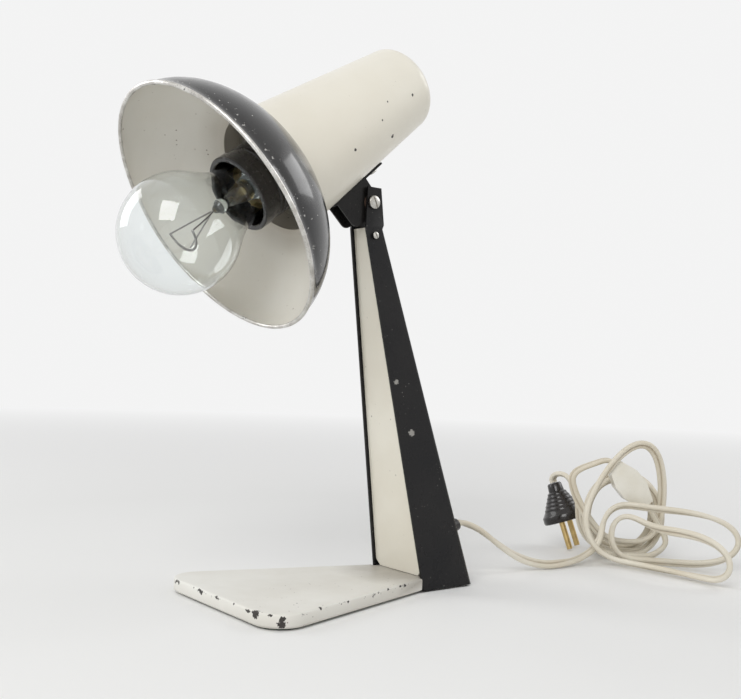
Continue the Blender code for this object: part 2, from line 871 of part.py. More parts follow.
def bowl_profile():
    """The closed outline of the bowl's sheet, down its outside and back up its inside."""
    neck = cup_radius(cup_front) - cup_sheet - seat_gap
    neck_rear = cup_front - neck_length
    taper = (cup_front_radius - cup_rear_radius) / (cup_front + cup_rear)
    neck_rear_radius = neck - neck_length * taper
    outer = []
    start_radius = cup_front_radius + bowl_sheet
    for step in range(bowl_profile_steps + 1):
        angle = math.pi / 2 * (1 - step / bowl_profile_steps)
        radius = start_radius + (bowl_radius - start_radius) * math.sin(angle)
        outer.append((radius, max(bowl_forward(radius), cup_front + seat_gap)))
    lift = max(0.0, cup_front + seat_gap - outer[-1][1])
    outer = [(radius, forward + lift) for radius, forward in outer]
    bead = []
    for step in range(1, 6):
        angle = math.pi * (0.5 - step / 6 * 1.5)
        bead.append((
            bowl_radius + bowl_bead_radius * math.cos(angle),
            outer[0][1] + bowl_bead_radius * math.sin(angle),
        ))
    inner = []
    for radius, forward in outer:
        inner.append((radius - bowl_sheet, forward + bowl_sheet * 0.6))
    inner[0] = (bowl_radius - bowl_bead_radius, outer[0][1])
    inner[-1] = (neck - bowl_sheet, outer[-1][1] + bowl_sheet)
    outer_run = bead + outer[1:]
    neck_run = [(neck, cup_front + seat_gap), (neck_rear_radius, neck_rear),
                (neck_rear_radius - bowl_sheet, neck_rear)]
    return outer_run + neck_run + list(reversed(inner))


def build_shade():
    """The cup, and the bowl whose neck is pressed into its mouth."""
    outer = cup_profile(0.0)
    inner = cup_profile(cup_sheet)
    cup = turned("shade_cup", outer + list(reversed(inner)), cream_paint, steps=cup_steps,
                 parent=shade_axis)
    close_lip(cup)
    for place, name in bracket_screw_places:
        drill(cup, "cup_hole_" + name, bracket_screw_radius + thread_gap, strip_low,
              foot_high, strip_frame, (0, place, 0))
    drill(cup, "cup_lead_hole", lead_hole_radius, strip_low, foot_high, strip_frame,
          (0, lead_hole_place, 0))
    turned("reflector_bowl", bowl_profile(), black_paint, True, bowl_steps, shade_axis)


def close_lip(cup):
    """Joins the cup's outer and inner outlines at its mouth."""
    work = bmesh.new()
    work.from_mesh(cup.data)
    work.verts.ensure_lookup_table()
    work.edges.new((work.verts[-1], work.verts[0]))
    work.to_mesh(cup.data)
    work.free()


cup_taper = math.atan2(cup_front_radius - cup_rear_radius, cup_front + cup_rear)
strip_frame = empty("strip_frame", (0, 0, 0), (cup_taper, 0, 0), head_pivot)
cup_underside = (axis_height - cup_radius(0.0)) * math.cos(cup_taper)
strip_top = cup_underside - seat_gap
strip_low = strip_top - bracket_sheet
cheek_outer = ear_half_width - sheet - 2 * seat_gap - friction_washer_thickness
cheek_inner = cheek_outer - bracket_sheet
bracket_screw_places = ((bracket_screw_rear, "rear"), (-bracket_screw_front, "front"))

# The lampholder's angle: its foot on the cup's inner face, its upright behind the cap
foot_half = holder_bracket_width / 2
cup_rear_inner = cup_radius(-bracket_rear) - cup_sheet
foot_sag = cup_rear_inner - math.sqrt(cup_rear_inner ** 2 - foot_half ** 2)
foot_low = cup_underside + cup_sheet + foot_sag + seat_gap
foot_high = foot_low + holder_bracket_sheet
holder_rear = holder_front - skirt_length - seat_gap - cap_length
upright_front = holder_rear - seat_gap
upright_rear = upright_front - holder_bracket_sheet
bulb_tip = bulb_centre + bulb_radius - bulb_length
bulb_cap_front = bulb_cap_start + bulb_cap_length
glass_seat_radius = bulb_cap_radius - bulb_cap_wall - seat_gap
glass_end = bulb_cap_front - bulb_cap_seat + seat_gap


def strip_line(along):
    """Height of the middle of the strip's sheet over the pivot, in the frame of the head."""
    middle = strip_top - bracket_sheet / 2
    return middle / math.cos(cup_taper) + along * math.tan(cup_taper)


def build_bracket():
    """The folded head bracket: a strip under the cup, two cheeks on the pivot, and its sleeve."""
    bracket = part("head_bracket", box_mesh(
        "head_bracket", (-cheek_outer, -bracket_front, strip_low),
        (cheek_outer, bracket_rear, strip_top),
    ), black_paint, strip_frame)
    front_top = (-cheek_front_top, strip_line(-cheek_front_top))
    front_low = (-cheek_front_low, -cheek_low)
    points = [(cheek_rear, strip_line(cheek_rear)), front_top]
    points += fillet(front_top, front_low, (0.0, -cheek_low), cheek_corner)
    lowest = math.radians(-90)
    sweep = math.radians(110)
    for step in range(2 * arc_steps + 1):
        angle = lowest + sweep * step / (2 * arc_steps)
        points.append((cheek_pivot_radius * math.cos(angle), cheek_pivot_radius * math.sin(angle)))
    for name, start in (("left", -cheek_outer), ("right", cheek_inner)):
        cheek = part("cheek_" + name, outline_mesh("cheek_" + name, points, bracket_sheet), None,
                     head_pivot, (start, 0, 0), (math.radians(90), 0, math.radians(90)))
        boolean(bracket, as_cutter(cheek), "UNION")
    drill(bracket, "cheek_holes", pivot_screw_radius + thread_gap, -2 * cheek_outer,
          2 * cheek_outer, head_pivot, rotation=along_x)
    for place, name in bracket_screw_places:
        drill(bracket, "strip_hole_" + name, bracket_screw_radius + thread_gap,
              strip_low - overrun / 2, strip_top + overrun / 2, strip_frame, (0, place, 0))
    drill(bracket, "strip_lead_hole", lead_hole_radius, strip_low - overrun / 4,
          strip_top + overrun / 4, strip_frame, (0, lead_hole_place, 0))
    ring("pivot_sleeve", sleeve_radius, pivot_screw_radius + thread_gap, -cheek_inner + seat_gap,
         cheek_inner - seat_gap, bright_steel, head_pivot, (0, 0, 0), along_x)


def build_bracket_screws():
    """The two screws of the head bracket, with their nuts inside the cup."""
    nut_seats = {"rear": foot_high + seat_gap,
                 "front": cup_underside + cup_sheet + 2 * seat_gap}
    for place, name in bracket_screw_places:
        head = strip_low - seat_gap
        slotted_screw("bracket_screw_" + name, bracket_head_radius, bracket_head_height,
                      bracket_screw_radius, nut_seats[name] + m3_nut_height - head, bright_steel,
                      strip_frame, (0, place, head), (math.radians(180), 0, 0))
        hex_nut("bracket_nut_" + name, m3_nut_width, m3_nut_height,
                bracket_screw_radius + thread_gap, bright_steel, strip_frame,
                (0, place, nut_seats[name]), (0, 0, 0))


def build_holder_bracket():
    """The angle inside the cup that carries the lampholder."""
    made = part("holder_bracket", box_mesh(
        "holder_bracket", (-foot_half, -upright_front, foot_low),
        (foot_half, bracket_rear, foot_high),
    ), bright_steel, strip_frame)
    upright_low = (foot_low + foot_high) / 2 - upright_front * math.tan(cup_taper)
    upright = part("holder_upright", box_mesh(
        "holder_upright", (-foot_half, -upright_front, upright_low),
        (foot_half, -upright_rear, axis_height + upright_reach),
    ), None, head_pivot)
    boolean(made, as_cutter(upright), "UNION")
    drill(made, "upright_hole", nipple_radius + thread_gap, upright_rear - overrun / 4,
          upright_front + overrun / 4, shade_axis)
    drill(made, "foot_hole", bracket_screw_radius + thread_gap, foot_low - overrun / 4,
          foot_high + overrun / 4, strip_frame, (0, bracket_screw_rear, 0))
    drill(made, "foot_lead_hole", lead_hole_radius, foot_low - overrun / 4,
          foot_high + overrun / 4, strip_frame, (0, lead_hole_place, 0))


def build_holder():
    """The lampholder: cap, skirt, insert with its contacts, shell, nipple and lock nut."""
    cap_front = holder_rear + cap_length
    collar = holder_rear + cap_collar_length
    body = holder_radius - seat_gap
    bore = nipple_radius + thread_gap
    rise = (cap_front - collar) * cap_dome_share
    outer = [(body, cap_front)]
    inner = [(body - holder_wall, cap_front)]
    for step in range(2 * arc_steps + 1):
        angle = math.pi / 2 * step / (2 * arc_steps)
        radius = cap_rear_radius + (body - cap_rear_radius) * math.cos(angle)
        height = collar + rise * (1 - math.sin(angle))
        outer.append((radius, height))
        inner.append((radius - holder_wall, height + holder_wall * math.sin(angle)))
    outer += [(cap_rear_radius, holder_rear), (bore, holder_rear)]
    inner.append((bore, collar + holder_wall))
    turned("holder_cap", outer + list(reversed(inner)), bakelite, True, holder_steps, shade_axis)
    skirt_rear = holder_front - skirt_length
    ring_rear = holder_front - skirt_ring_length
    edge = skirt_ring_radius - holder_radius
    turned("holder_skirt", [
        (skirt_ring_radius - edge, holder_front), (skirt_ring_radius, holder_front - edge),
        (skirt_ring_radius, ring_rear), (holder_radius, ring_rear - edge),
        (holder_radius, skirt_rear), (holder_radius - holder_wall, skirt_rear),
        (holder_radius - holder_wall, holder_front),
    ], bakelite, True, holder_steps, shade_axis)
    insert_front = bulb_tip - contact_thickness - 2 * seat_gap
    insert_rear = insert_front - insert_thickness
    insert_radius = body - holder_wall - seat_gap
    insert = turned("holder_insert", [
        (0, insert_front), (insert_radius, insert_front), (insert_radius, insert_rear),
        (0, insert_rear),
    ], porcelain, steps=holder_steps, parent=shade_axis)
    ring("holder_shell", shell_inner_radius + shell_wall, shell_inner_radius,
         insert_front + seat_gap, insert_front + shell_length, brass, shade_axis,
         (0, 0, 0), (0, 0, 0), holder_steps)
    contact_low = insert_front + seat_gap
    part("centre_contact", box_mesh(
        "centre_contact", (-contact_width / 2, -contact_length / 2, contact_low),
        (contact_width / 2, contact_length / 2, contact_low + contact_thickness),
    ), brass, shade_axis)
    length = insert_thickness / 2
    for side, name in ((-1, "left"), (1, "right")):
        spot = side * terminal_spread / 2
        drill(insert, "terminal_hole_" + name, terminal_radius + thread_gap,
              insert_rear - overrun, insert_rear + length + seat_gap, shade_axis, (spot, 0, 0))
        slotted_screw("terminal_screw_" + name, terminal_head_radius, terminal_head_height,
                      terminal_radius, length, brass, shade_axis,
                      (spot, 0, insert_rear - seat_gap), (math.radians(180), 0, 0))
    ring("holder_nipple", nipple_radius, nipple_bore,
         upright_rear - lock_nut_height - 2 * seat_gap, collar, bright_steel, shade_axis,
         (0, 0, 0), (0, 0, 0))
    hex_nut("holder_lock_nut", lock_nut_width, lock_nut_height, nipple_radius + thread_gap,
            bright_steel, shade_axis, (0, 0, upright_rear - seat_gap), (math.radians(180), 0, 0))


def glass_outline(inset):
    """The bulb's glass from its top to its end in the cap, drawn in by an inset."""
    radius = bulb_radius - inset
    points = [(0.0, bulb_centre + radius)]
    count = 2 * arc_steps + 2
    for step in range(1, count + 1):
        angle = bulb_sphere_sweep * step / count
        points.append((radius * math.sin(angle), bulb_centre + radius * math.cos(angle)))
    start_radius, start = points[-1]
    neck = bulb_neck_radius - inset
    meet = start + (start_radius - neck) * math.tan(bulb_sphere_sweep)
    for step in range(1, arc_steps + 1):
        share = step / arc_steps
        first = (1 - share) ** 2
        middle = 2 * share * (1 - share)
        points.append((
            start_radius * first + neck * (middle + share ** 2),
            start * first + meet * middle + bulb_neck_front * share ** 2,
        ))
    points.append((glass_seat_radius - inset, bulb_cap_front + seat_gap))
    points.append((glass_seat_radius - inset, glass_end))
    return points


def build_bulb():
    """The bulb: glass, screw cap, insulator and contact."""
    turned("bulb_glass", glass_outline(0.0) + list(reversed(glass_outline(bulb_glass_wall))),
           clear_glass, steps=bulb_steps, parent=shade_axis)
    low = bulb_cap_start
    plain = bulb_cap_front - bulb_cap_seat
    base = low + insulator_height
    pitch = (plain - base) / thread_turns
    outer = [(bulb_cap_radius, bulb_cap_front), (bulb_cap_radius, plain)]
    for turn in range(thread_turns):
        outer.append((bulb_cap_radius - thread_depth, plain - pitch * (turn + 1 / 2)))
        outer.append((bulb_cap_radius, plain - pitch * (turn + 1)))
    outer += [(insulator_radius, low), (0, low)]
    inside = bulb_cap_radius - bulb_cap_wall
    inner = [(0, low + bulb_cap_wall), (insulator_radius, low + bulb_cap_wall),
             (inside - thread_depth, base + bulb_cap_wall), (inside - thread_depth, plain - seat_gap),
             (inside, plain), (inside, bulb_cap_front)]
    close_lip(turned("bulb_cap", outer + inner, brass, steps=holder_steps, parent=shade_axis))
    turned("bulb_insulator", [
        (0, low - seat_gap), (insulator_radius - seat_gap, low - seat_gap),
        (bulb_contact_radius, low - insulator_height), (0, low - insulator_height),
    ], bakelite, steps=round_steps, parent=shade_axis)
    contact_top = low - insulator_height - seat_gap
    turned("bulb_contact", [
        (0, contact_top), (bulb_contact_radius - seat_gap, contact_top),
        (bulb_contact_radius / 2, bulb_tip), (0, bulb_tip),
    ], brass, steps=small_steps, parent=shade_axis)


def build_filament():
    """The stem inside the bulb, its wires and the filament."""
    flare = glass_seat_radius - bulb_glass_wall - seat_gap
    waist = stem_radius * stem_waist_share
    turned("bulb_stem", [
        (0, stem_front), (waist, stem_front - waist / 2), (stem_radius, stem_front - stem_radius),
        (waist, stem_front - 2 * stem_radius), (stem_radius, (stem_front + bulb_cap_front) / 2),
        (flare, glass_end + bulb_glass_wall), (flare, glass_end), (0, glass_end),
    ], clear_glass, steps=small_steps, parent=shade_axis)
    root = stem_front + seat_gap
    middle = (root + wire_front) / 2
    for side, name in ((-1, "left"), (1, "right")):
        places = [(side * waist / 2, 0, root), (side * (waist + wire_spread) / 2, 0, middle),
                  (side * wire_spread, 0, wire_front)]
        wire = tube_curve("bulb_wire_" + name, smooth_route(places, arc_steps), wire_radius, 1)
        part("bulb_wire_" + name, wire, bright_steel, shade_axis)
    reach = wire_spread - wire_radius - seat_gap - filament_radius
    points = []
    for step in range(4 * arc_steps + 1):
        angle = math.pi * step / (4 * arc_steps)
        points.append((-reach * math.cos(angle), -filament_sag * math.sin(angle), wire_front))
    part("filament", tube_curve("filament", points, filament_radius, 1), bright_steel, shade_axis)
    hook = -filament_sag + filament_radius + seat_gap + wire_radius
    support = tube_curve("filament_support", smooth_route(
        [(0, 0, root), (0, hook / 2, middle), (0, hook, wire_front)], arc_steps), wire_radius, 1)
    part("filament_support", support, bright_steel, shade_axis)


lead_back = sheet * math.cos(web_lean) + inner_lead_radius + 2 * seat_gap


def beside_web(height):
    """The middle of the lead where it runs up the web."""
    return (0, column_rear(height) - lead_back / math.cos(web_lean), height)


def build_bush():
    """The bush in the web, with its tapered tail round the cord's first stretch."""
    bore = inner_lead_radius + seat_gap
    inside = -sheet - seat_gap
    turned("cord_bush", [
        (bush_tail_radius, bush_tail), (bush_radius, bush_flange + seat_gap),
        (bush_flange_radius, bush_flange), (bush_flange_radius, seat_gap),
        (bush_radius, seat_gap), (bush_radius, inside), (bush_flange_radius, inside - seat_gap),
        (bush_radius, -bush_inside), (bore, -bush_inside), (bore, bush_tail),
    ], bakelite, True, round_steps, None, exit_point, web_turn)


def build_inner_leads():
    """The lead inside the column and the lead inside the head."""
    inner_end = exit_point - web_out * (bush_inside + inner_lead_radius)
    turn_low = Vector((0, inner_end.y - 2 * inner_lead_radius, inner_end.z + inner_lead_radius))
    low_run = Vector(beside_web(clip_height - clip_length))
    places = [tuple(exit_point + web_out * bush_flange), tuple(exit_point - web_out * bush_inside / 2),
              tuple(inner_end), tuple(turn_low)]
    places.append(tuple(turn_low.lerp(low_run, 0.5) - Vector((0, inner_lead_radius, 0))))
    run = kink_height - clip_height
    places += [tuple(low_run), beside_web(clip_height), beside_web(clip_height + clip_length)]
    places += [beside_web(clip_height + run * share) for share in lead_height_shares]
    behind = sleeve_radius + inner_lead_radius + 4 * seat_gap
    rise = math.atan2(lead_hole_place, strip_low)
    up = head_tilt + cup_taper - rise
    places.append((0, -pivot_lean + behind, pivot_height))
    places.append((0, -pivot_lean - lead_top_reach * math.sin(up) + inner_lead_radius / 2,
                   pivot_height + lead_top_reach * math.cos(up)))
    part("column_lead", tube_curve("column_lead", smooth_route(places, 44), inner_lead_radius, 1),
         cord_plastic, root_frame)
    tilt = Matrix.Rotation(cup_taper, 3, "X")
    hole = [tilt @ Vector((0, lead_hole_place, height))
            for height in (strip_low - lead_drop, cup_underside, foot_high + inner_lead_radius)]
    middle = (foot_high + axis_height) / 2
    back = lead_hole_place + inner_lead_radius
    places = [tuple(place) for place in hole] + [
        (0, back - inner_lead_radius / 2, middle - inner_lead_radius),
        (0, back, middle + nipple_radius),
        (0, back / 2, axis_height - inner_lead_radius / 2),
        (0, -upright_rear + lock_nut_height / 2, axis_height), (0, -upright_front, axis_height),
        (0, -holder_rear - cap_collar_length, axis_height),
    ]
    part("head_lead", tube_curve("head_lead", smooth_route(places, 18), inner_lead_radius, 1),
         cord_plastic, head_pivot)


def build_clip():
    """The clip that holds the lead to the web, and its screw from behind."""
    bore = inner_lead_radius + seat_gap
    outer = bore + clip_thickness
    end = clip_width + clip_head_radius
    over = []
    under = []
    for step in range(2 * arc_steps + 1):
        angle = math.pi * step / (2 * arc_steps)
        over.append((outer * math.cos(angle), bore + outer * math.sin(angle)))
        under.append((-bore * math.cos(angle), bore + bore * math.sin(angle)))
    points = over + [(-outer, 0), (-bore, 0)] + under
    points += [(bore, 0), (end, 0), (end, clip_thickness), (outer, clip_thickness)]
    face = exit_on_web(clip_height) - web_out * (sheet * math.cos(web_lean) + seat_gap)
    along = Vector((0, math.sin(web_lean), -math.cos(web_lean)))
    turn = (math.pi + web_lean, 0, 0)
    clip = part("lead_clip", outline_mesh("lead_clip", points, clip_length), bright_steel,
                root_frame, face - along * (clip_length / 2), turn)
    drill(clip, "clip_screw_room", clip_screw_radius + thread_gap, -overrun, overrun, root_frame,
          clip_point, web_turn)
    slotted_screw("clip_screw", clip_head_radius, clip_head_height, clip_screw_radius,
                  sheet + clip_thickness + 2 * seat_gap, bright_steel, root_frame,
                  clip_point + web_out * seat_gap, web_turn)


def exit_on_web(height):
    """The point on the middle of the web's outer face at a height."""
    return Vector((0, column_rear(height), height))


bundle_middle = Vector((*bundle_place, 0))
bundle_right = Vector((math.cos(bundle_turn), math.sin(bundle_turn), 0))
bundle_ahead = Vector((math.sin(bundle_turn), -math.cos(bundle_turn), 0))


def on_bundle(right, height, ahead):
    """A place in the bundle's own directions: to its right, above the table, and ahead."""
    return bundle_middle + right * bundle_right + ahead * bundle_ahead + Vector((0, 0, height))


def eased(turns, values, at):
    """Values at even turns, without overshoot between the keys."""
    turns = np.array(turns, float)
    values = np.array(values, float)
    steps = np.diff(turns)
    slopes = np.diff(values) / steps
    tangents = np.zeros(len(values))
    for index in range(1, len(values) - 1):
        before, after = slopes[index - 1], slopes[index]
        if before * after > 0:
            tangents[index] = 2 * before * after / (before + after)
    tangents[0] = slopes[0]
    tangents[-1] = slopes[-1]
    found = np.clip(np.searchsorted(turns, at, side="right") - 1, 0, len(steps) - 1)
    part_way = (at - turns[found]) / steps[found]
    square = part_way ** 2
    cube = part_way ** 3
    return ((2 * cube - 3 * square + 1) * values[found]
            + (cube - 2 * square + part_way) * steps[found] * tangents[found]
            + (3 * square - 2 * cube) * values[found + 1]
            + (cube - square) * steps[found] * tangents[found + 1])


def winding(start, turns, places_ahead, radii, petals=()):
    """The turns of one stretch of cord about the middle of the bundle.

    Each petal draws the turns near it out into a loop, to the right, upwards and ahead.
    """
    at = np.linspace(0, turns[-1], round(points_per_turn * turns[-1]) + 1)
    ahead = eased(turns, places_ahead, at)
    radius = eased(turns, radii, at)
    angle = start - 2 * math.pi * at
    right = radius * np.cos(angle)
    height = bundle_height + bundle_tall_share * radius * np.sin(angle)
    for (middle, reach), pull in petals:
        drawn = np.cos(math.pi / 2 * np.clip(np.abs(at - middle) / reach, 0, 1)) ** 2
        right = right + drawn * pull[0]
        height = height + drawn * pull[1]
        ahead = ahead + drawn * pull[2]
    above = height - cord_lowest
    height = cord_lowest + (above + np.sqrt(above ** 2 + 4 * floor_ease ** 2)) / 2
    places = np.stack([right, height, ahead], axis=1).tolist()
    return [tuple(on_bundle(*place)) for place in places]


def least_gap(name, places, others=None):
    """Prints the least gap of a tube to itself, or to another tube, on points along it."""
    def fine(route):
        route = np.array(route, float)
        along = np.concatenate([[0], np.cumsum(np.linalg.norm(np.diff(route, axis=0), axis=1))])
        at = np.arange(0, along[-1], cord_radius / 2)
        return at, np.stack([np.interp(at, along, route[:, axis]) for axis in range(3)], axis=1)

    at, mine = fine(places)
    apart = np.linalg.norm(mine[:, None] - mine[None], axis=2)
    apart[np.abs(at[:, None] - at[None]) < 6 * cord_radius] = 1
    if others is not None:
        apart = np.linalg.norm(mine[:, None] - fine(others)[1][None], axis=2)
    gap = (apart.min() - 2 * cord_radius) * 1000
    print(f"{name}: least gap {gap:.2f} mm, length {at[-1] * 1000:.0f} mm")


def cord_tube(name, places, resolution):
    """One stretch of the cord."""
    return part(name, tube_curve(name, places, cord_radius, resolution), cord_plastic)


def build_cord():
    """The free lead, the loops before the switch and the wraps after it."""
    turns = winding(loops_start, loops_turn_shares, loops_ahead, loops_radius,
                    list(zip(petal_turn_shares, petal_pulls)))
    first = Vector(turns[0])
    join = first + on_bundle(*loops_join) - on_bundle(0, 0, 0)
    bend = first + on_bundle(*loops_bend) - on_bundle(0, 0, 0)
    back = (join - bend).normalized()
    end_reach = 2 * cord_radius
    closing = turns[-tail_points // 2:-1] + [tuple(switch_upper - switch_along * end_reach)]
    loops = [tuple(join), tuple(bend)] + turns[:-tail_points // 2]
    loops += [tuple(place) for place in smooth_route(closing, tail_points)]
    loops.append(tuple(switch_upper - switch_along * seat_gap))
    turns = winding(wraps_start, wraps_turn_shares, wraps_ahead, wraps_radius)
    wraps = [tuple(switch_lower + switch_along * seat_gap),
             tuple(switch_lower + switch_along * end_reach)] + turns[1:-1]
    closing = [turns[-1]] + [tuple(on_bundle(*place)) for place in tail_places]
    closing.append(tuple(plug_start - plug_along * end_reach))
    wraps += [tuple(place) for place in smooth_route(closing, tail_points)]
    wraps.append(tuple(plug_start - plug_along * seat_gap))
    tip = exit_point + web_out * (bush_tail + seat_gap)
    end = join + back * seat_gap
    lead = [tuple(tip + web_out * end_reach)] + list(lead_places) + [tuple(end + back * end_reach)]
    lead = [tuple(tip)] + [tuple(place) for place in smooth_route(lead, lead_points)]
    lead.append(tuple(end))
    cord_tube("cord_lead", lead, 2)
    cord_tube("cord_loops", loops, 1)
    cord_tube("cord_wraps", wraps, 1)
    least_gap("cord_lead", lead)
    least_gap("cord_loops", loops)
    least_gap("cord_wraps", wraps)
    least_gap("cord_loops to cord_wraps", loops, wraps)
    least_gap("cord_lead to cord_loops", lead[:-2], loops[2:])


switch_upper = on_bundle(*switch_start)
switch_lower = on_bundle(*switch_end)
switch_along = (switch_lower - switch_upper).normalized()
switch_length = (switch_lower - switch_upper).length
plug_start = on_bundle(*plug_place)
plug_along = (on_bundle(*plug_lean) - on_bundle(0, 0, 0)).normalized()


def frame_from(name, origin, along, facing):
    """An empty whose X runs along one direction and whose Z faces another."""
    across = facing.cross(along).normalized()
    up = along.cross(across).normalized()
    turn = Matrix((along, across, up)).transposed()
    return empty(name, origin, turn.to_euler())


switch_frame = frame_from("switch_frame", (switch_upper + switch_lower) / 2, switch_along,
                          -bundle_ahead)
plug_frame = frame_from("plug_frame", plug_start, plug_along.cross(Vector((0, 0, 1))).normalized(),
                        plug_along)


def switch_outline():
    """The switch in plan: wide in the middle, narrow where the cord enters."""
    half = switch_length / 2
    wide = switch_width / 2
    narrow = switch_end_width / 2
    corners = [(half, -narrow), (half, narrow), (switch_flat, wide), (-switch_flat, wide),
               (-half, narrow), (-half, -narrow), (-switch_flat, -wide), (switch_flat, -wide)]
    points = []
    for index, corner in enumerate(corners):
        before = corners[index - 1]
        after = corners[(index + 1) % len(corners)]
        points += fillet(before, corner, after, switch_corner, 2)
    return points


def switch_shell(name, low, high):
    """One half of the switch's case."""
    shell = part(name, outline_mesh(name, switch_outline(), switch_thickness), cord_plastic,
                 switch_frame, (0, 0, -switch_thickness / 2))
    bevel = shell.modifiers.new("edges", "BEVEL")
    bevel.width = switch_edge
    bevel.segments = 2
    bevel.limit_method = "ANGLE"
    bevel.angle_limit = math.radians(60)
    reach = switch_length
    keep = part(name + "_half", box_mesh(name + "_half", (-reach, -reach, low),
                (reach, reach, high)), None, switch_frame)
    boolean(shell, as_cutter(keep), "INTERSECT")
    room = part(name + "_room", box_mesh(
        name + "_room", (-switch_room_length / 2, -switch_room_width / 2,
                         max(low, -switch_thickness / 2) + (switch_wall if low < 0 else -overrun)),
        (switch_room_length / 2, switch_room_width / 2,
         switch_roof if low > 0 else overrun)), None, switch_frame)
    boolean(shell, as_cutter(room))
    drill(shell, name + "_channel", switch_channel_radius, -reach, reach, switch_frame,
          rotation=along_x)
    for side, number in ((-1, 1), (1, 2)):
        spot = (side * switch_screw_place, side * switch_screw_offset, 0)
        drill(shell, f"{name}_screw_room_{number}", switch_screw_radius + thread_gap,
              -switch_screw_depth - seat_gap, switch_thickness, switch_frame, spot)
    return shell


def build_switch():
    """The in-line switch: two half cases, a rocker, its contact and two screws."""
    half = switch_thickness / 2
    switch_shell("switch_base", -half - overrun, -seat_gap / 2)
    cover = switch_shell("switch_cover", seat_gap / 2, half + overrun)
    window = (rocker_length / 2 + rocker_room, rocker_width / 2 + seat_gap)
    opening = part("rocker_window", box_mesh(
        "rocker_window", (-window[0], -window[1], 0), (window[0], window[1], half + overrun)),
        None, switch_frame)
    boolean(cover, as_cutter(opening))
    drill(cover, "trunnion_room", trunnion_radius + thread_gap, -trunnion_reach - seat_gap,
          trunnion_reach + seat_gap, switch_frame, (0, 0, rocker_pivot), (math.radians(90), 0, 0))
    for side, number in ((-1, 1), (1, 2)):
        spot = (side * switch_screw_place, side * switch_screw_offset, 0)
        drill(cover, f"screw_recess_{number}", switch_head_radius + seat_gap,
              half - switch_head_sink, half + overrun, switch_frame, spot)
        seat = half - switch_head_sink + seat_gap
        slotted_screw(f"switch_screw_{number}", switch_head_radius, switch_head_height,
                      switch_screw_radius, seat + switch_screw_depth, bright_steel, switch_frame,
                      (spot[0], spot[1], seat), (0, 0, 0))
    pivot = empty("rocker_axis", (0, 0, rocker_pivot), (0, -rocker_rest, 0), switch_frame)
    rocker = part("switch_rocker", box_mesh(
        "switch_rocker", (-rocker_length / 2, -rocker_width / 2, -rocker_depth),
        (rocker_length / 2, rocker_width / 2, rocker_rise),
    ), cord_plastic, pivot)
    stem = part("rocker_stem", box_mesh(
        "rocker_stem", (-rocker_stem_length / 2, -rocker_width / 4, -rocker_stem_depth),
        (rocker_stem_length / 2, rocker_width / 4, 0),
    ), None, pivot)
    boolean(rocker, as_cutter(stem), "UNION")
    pins = part("rocker_pins", rod_mesh("rocker_pins", trunnion_radius, -trunnion_reach,
                trunnion_reach, small_steps), None, pivot, rotation=(math.radians(90), 0, 0))
    boolean(rocker, as_cutter(pins), "UNION")
    bridge_top = rocker_pivot - rocker_stem_depth - 2 * seat_gap
    floor = -half + switch_wall + seat_gap
    reach = switch_room_length / 2 - 2 * seat_gap
    bridge = part("switch_contact", box_mesh(
        "switch_contact", (-reach, -contact_strip / 2, bridge_top - contact_sheet),
        (reach, contact_strip / 2, bridge_top),
    ), brass, switch_frame)
    for side, name in ((-1, "left"), (1, "right")):
        inner = side * (reach - contact_sheet)
        leg = part("contact_leg_" + name, box_mesh(
            "contact_leg_" + name, (min(inner, side * reach), -contact_strip / 2, floor),
            (max(inner, side * reach), contact_strip / 2, bridge_top - contact_sheet / 2),
        ), None, switch_frame)
        boolean(bridge, as_cutter(leg), "UNION")


def build_plug():
    """The plug and its two pins."""
    body = turned("plug_body", [
        (0, plug_length), (plug_radius - plug_edge, plug_length),
        (plug_radius, plug_length - plug_edge), (plug_radius, plug_length - plug_rim),
        (plug_grip_radius, plug_length - 1.5 * plug_rim), (plug_neck_radius + plug_edge,
                                                         plug_neck_length),
        (plug_neck_radius, 0), (0, 0),
    ], bakelite, steps=holder_steps, parent=plug_frame)
    for side, name in ((-1, "left"), (1, "right")):
        spot = (side * plug_pin_spread / 2, 0, 0)
        start = plug_length - plug_pin_seat
        drill(body, "pin_room_" + name, plug_pin_radius + thread_gap, start - seat_gap,
              plug_length + overrun, plug_frame, spot)
        part("plug_pin_" + name, rod_mesh("plug_pin_" + name, plug_pin_radius, start,
             plug_length + plug_pin_length, small_steps), brass, plug_frame, spot)


build_base()
build_column()
build_panel()
build_cross_screws()
build_shade()
build_bracket()
build_bracket_screws()
build_holder_bracket()
build_holder()
build_bulb()
build_filament()
build_bush()
build_inner_leads()
build_clip()
build_cord()
build_switch()
build_plug()
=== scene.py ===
"""Night lamp: the finishes, the cord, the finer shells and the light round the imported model."""

import json
from math import acos, atan2, cos, hypot, pi, radians, sin, sqrt, tan

import bmesh
import bpy
import numpy as np
from mathutils import Matrix, Vector


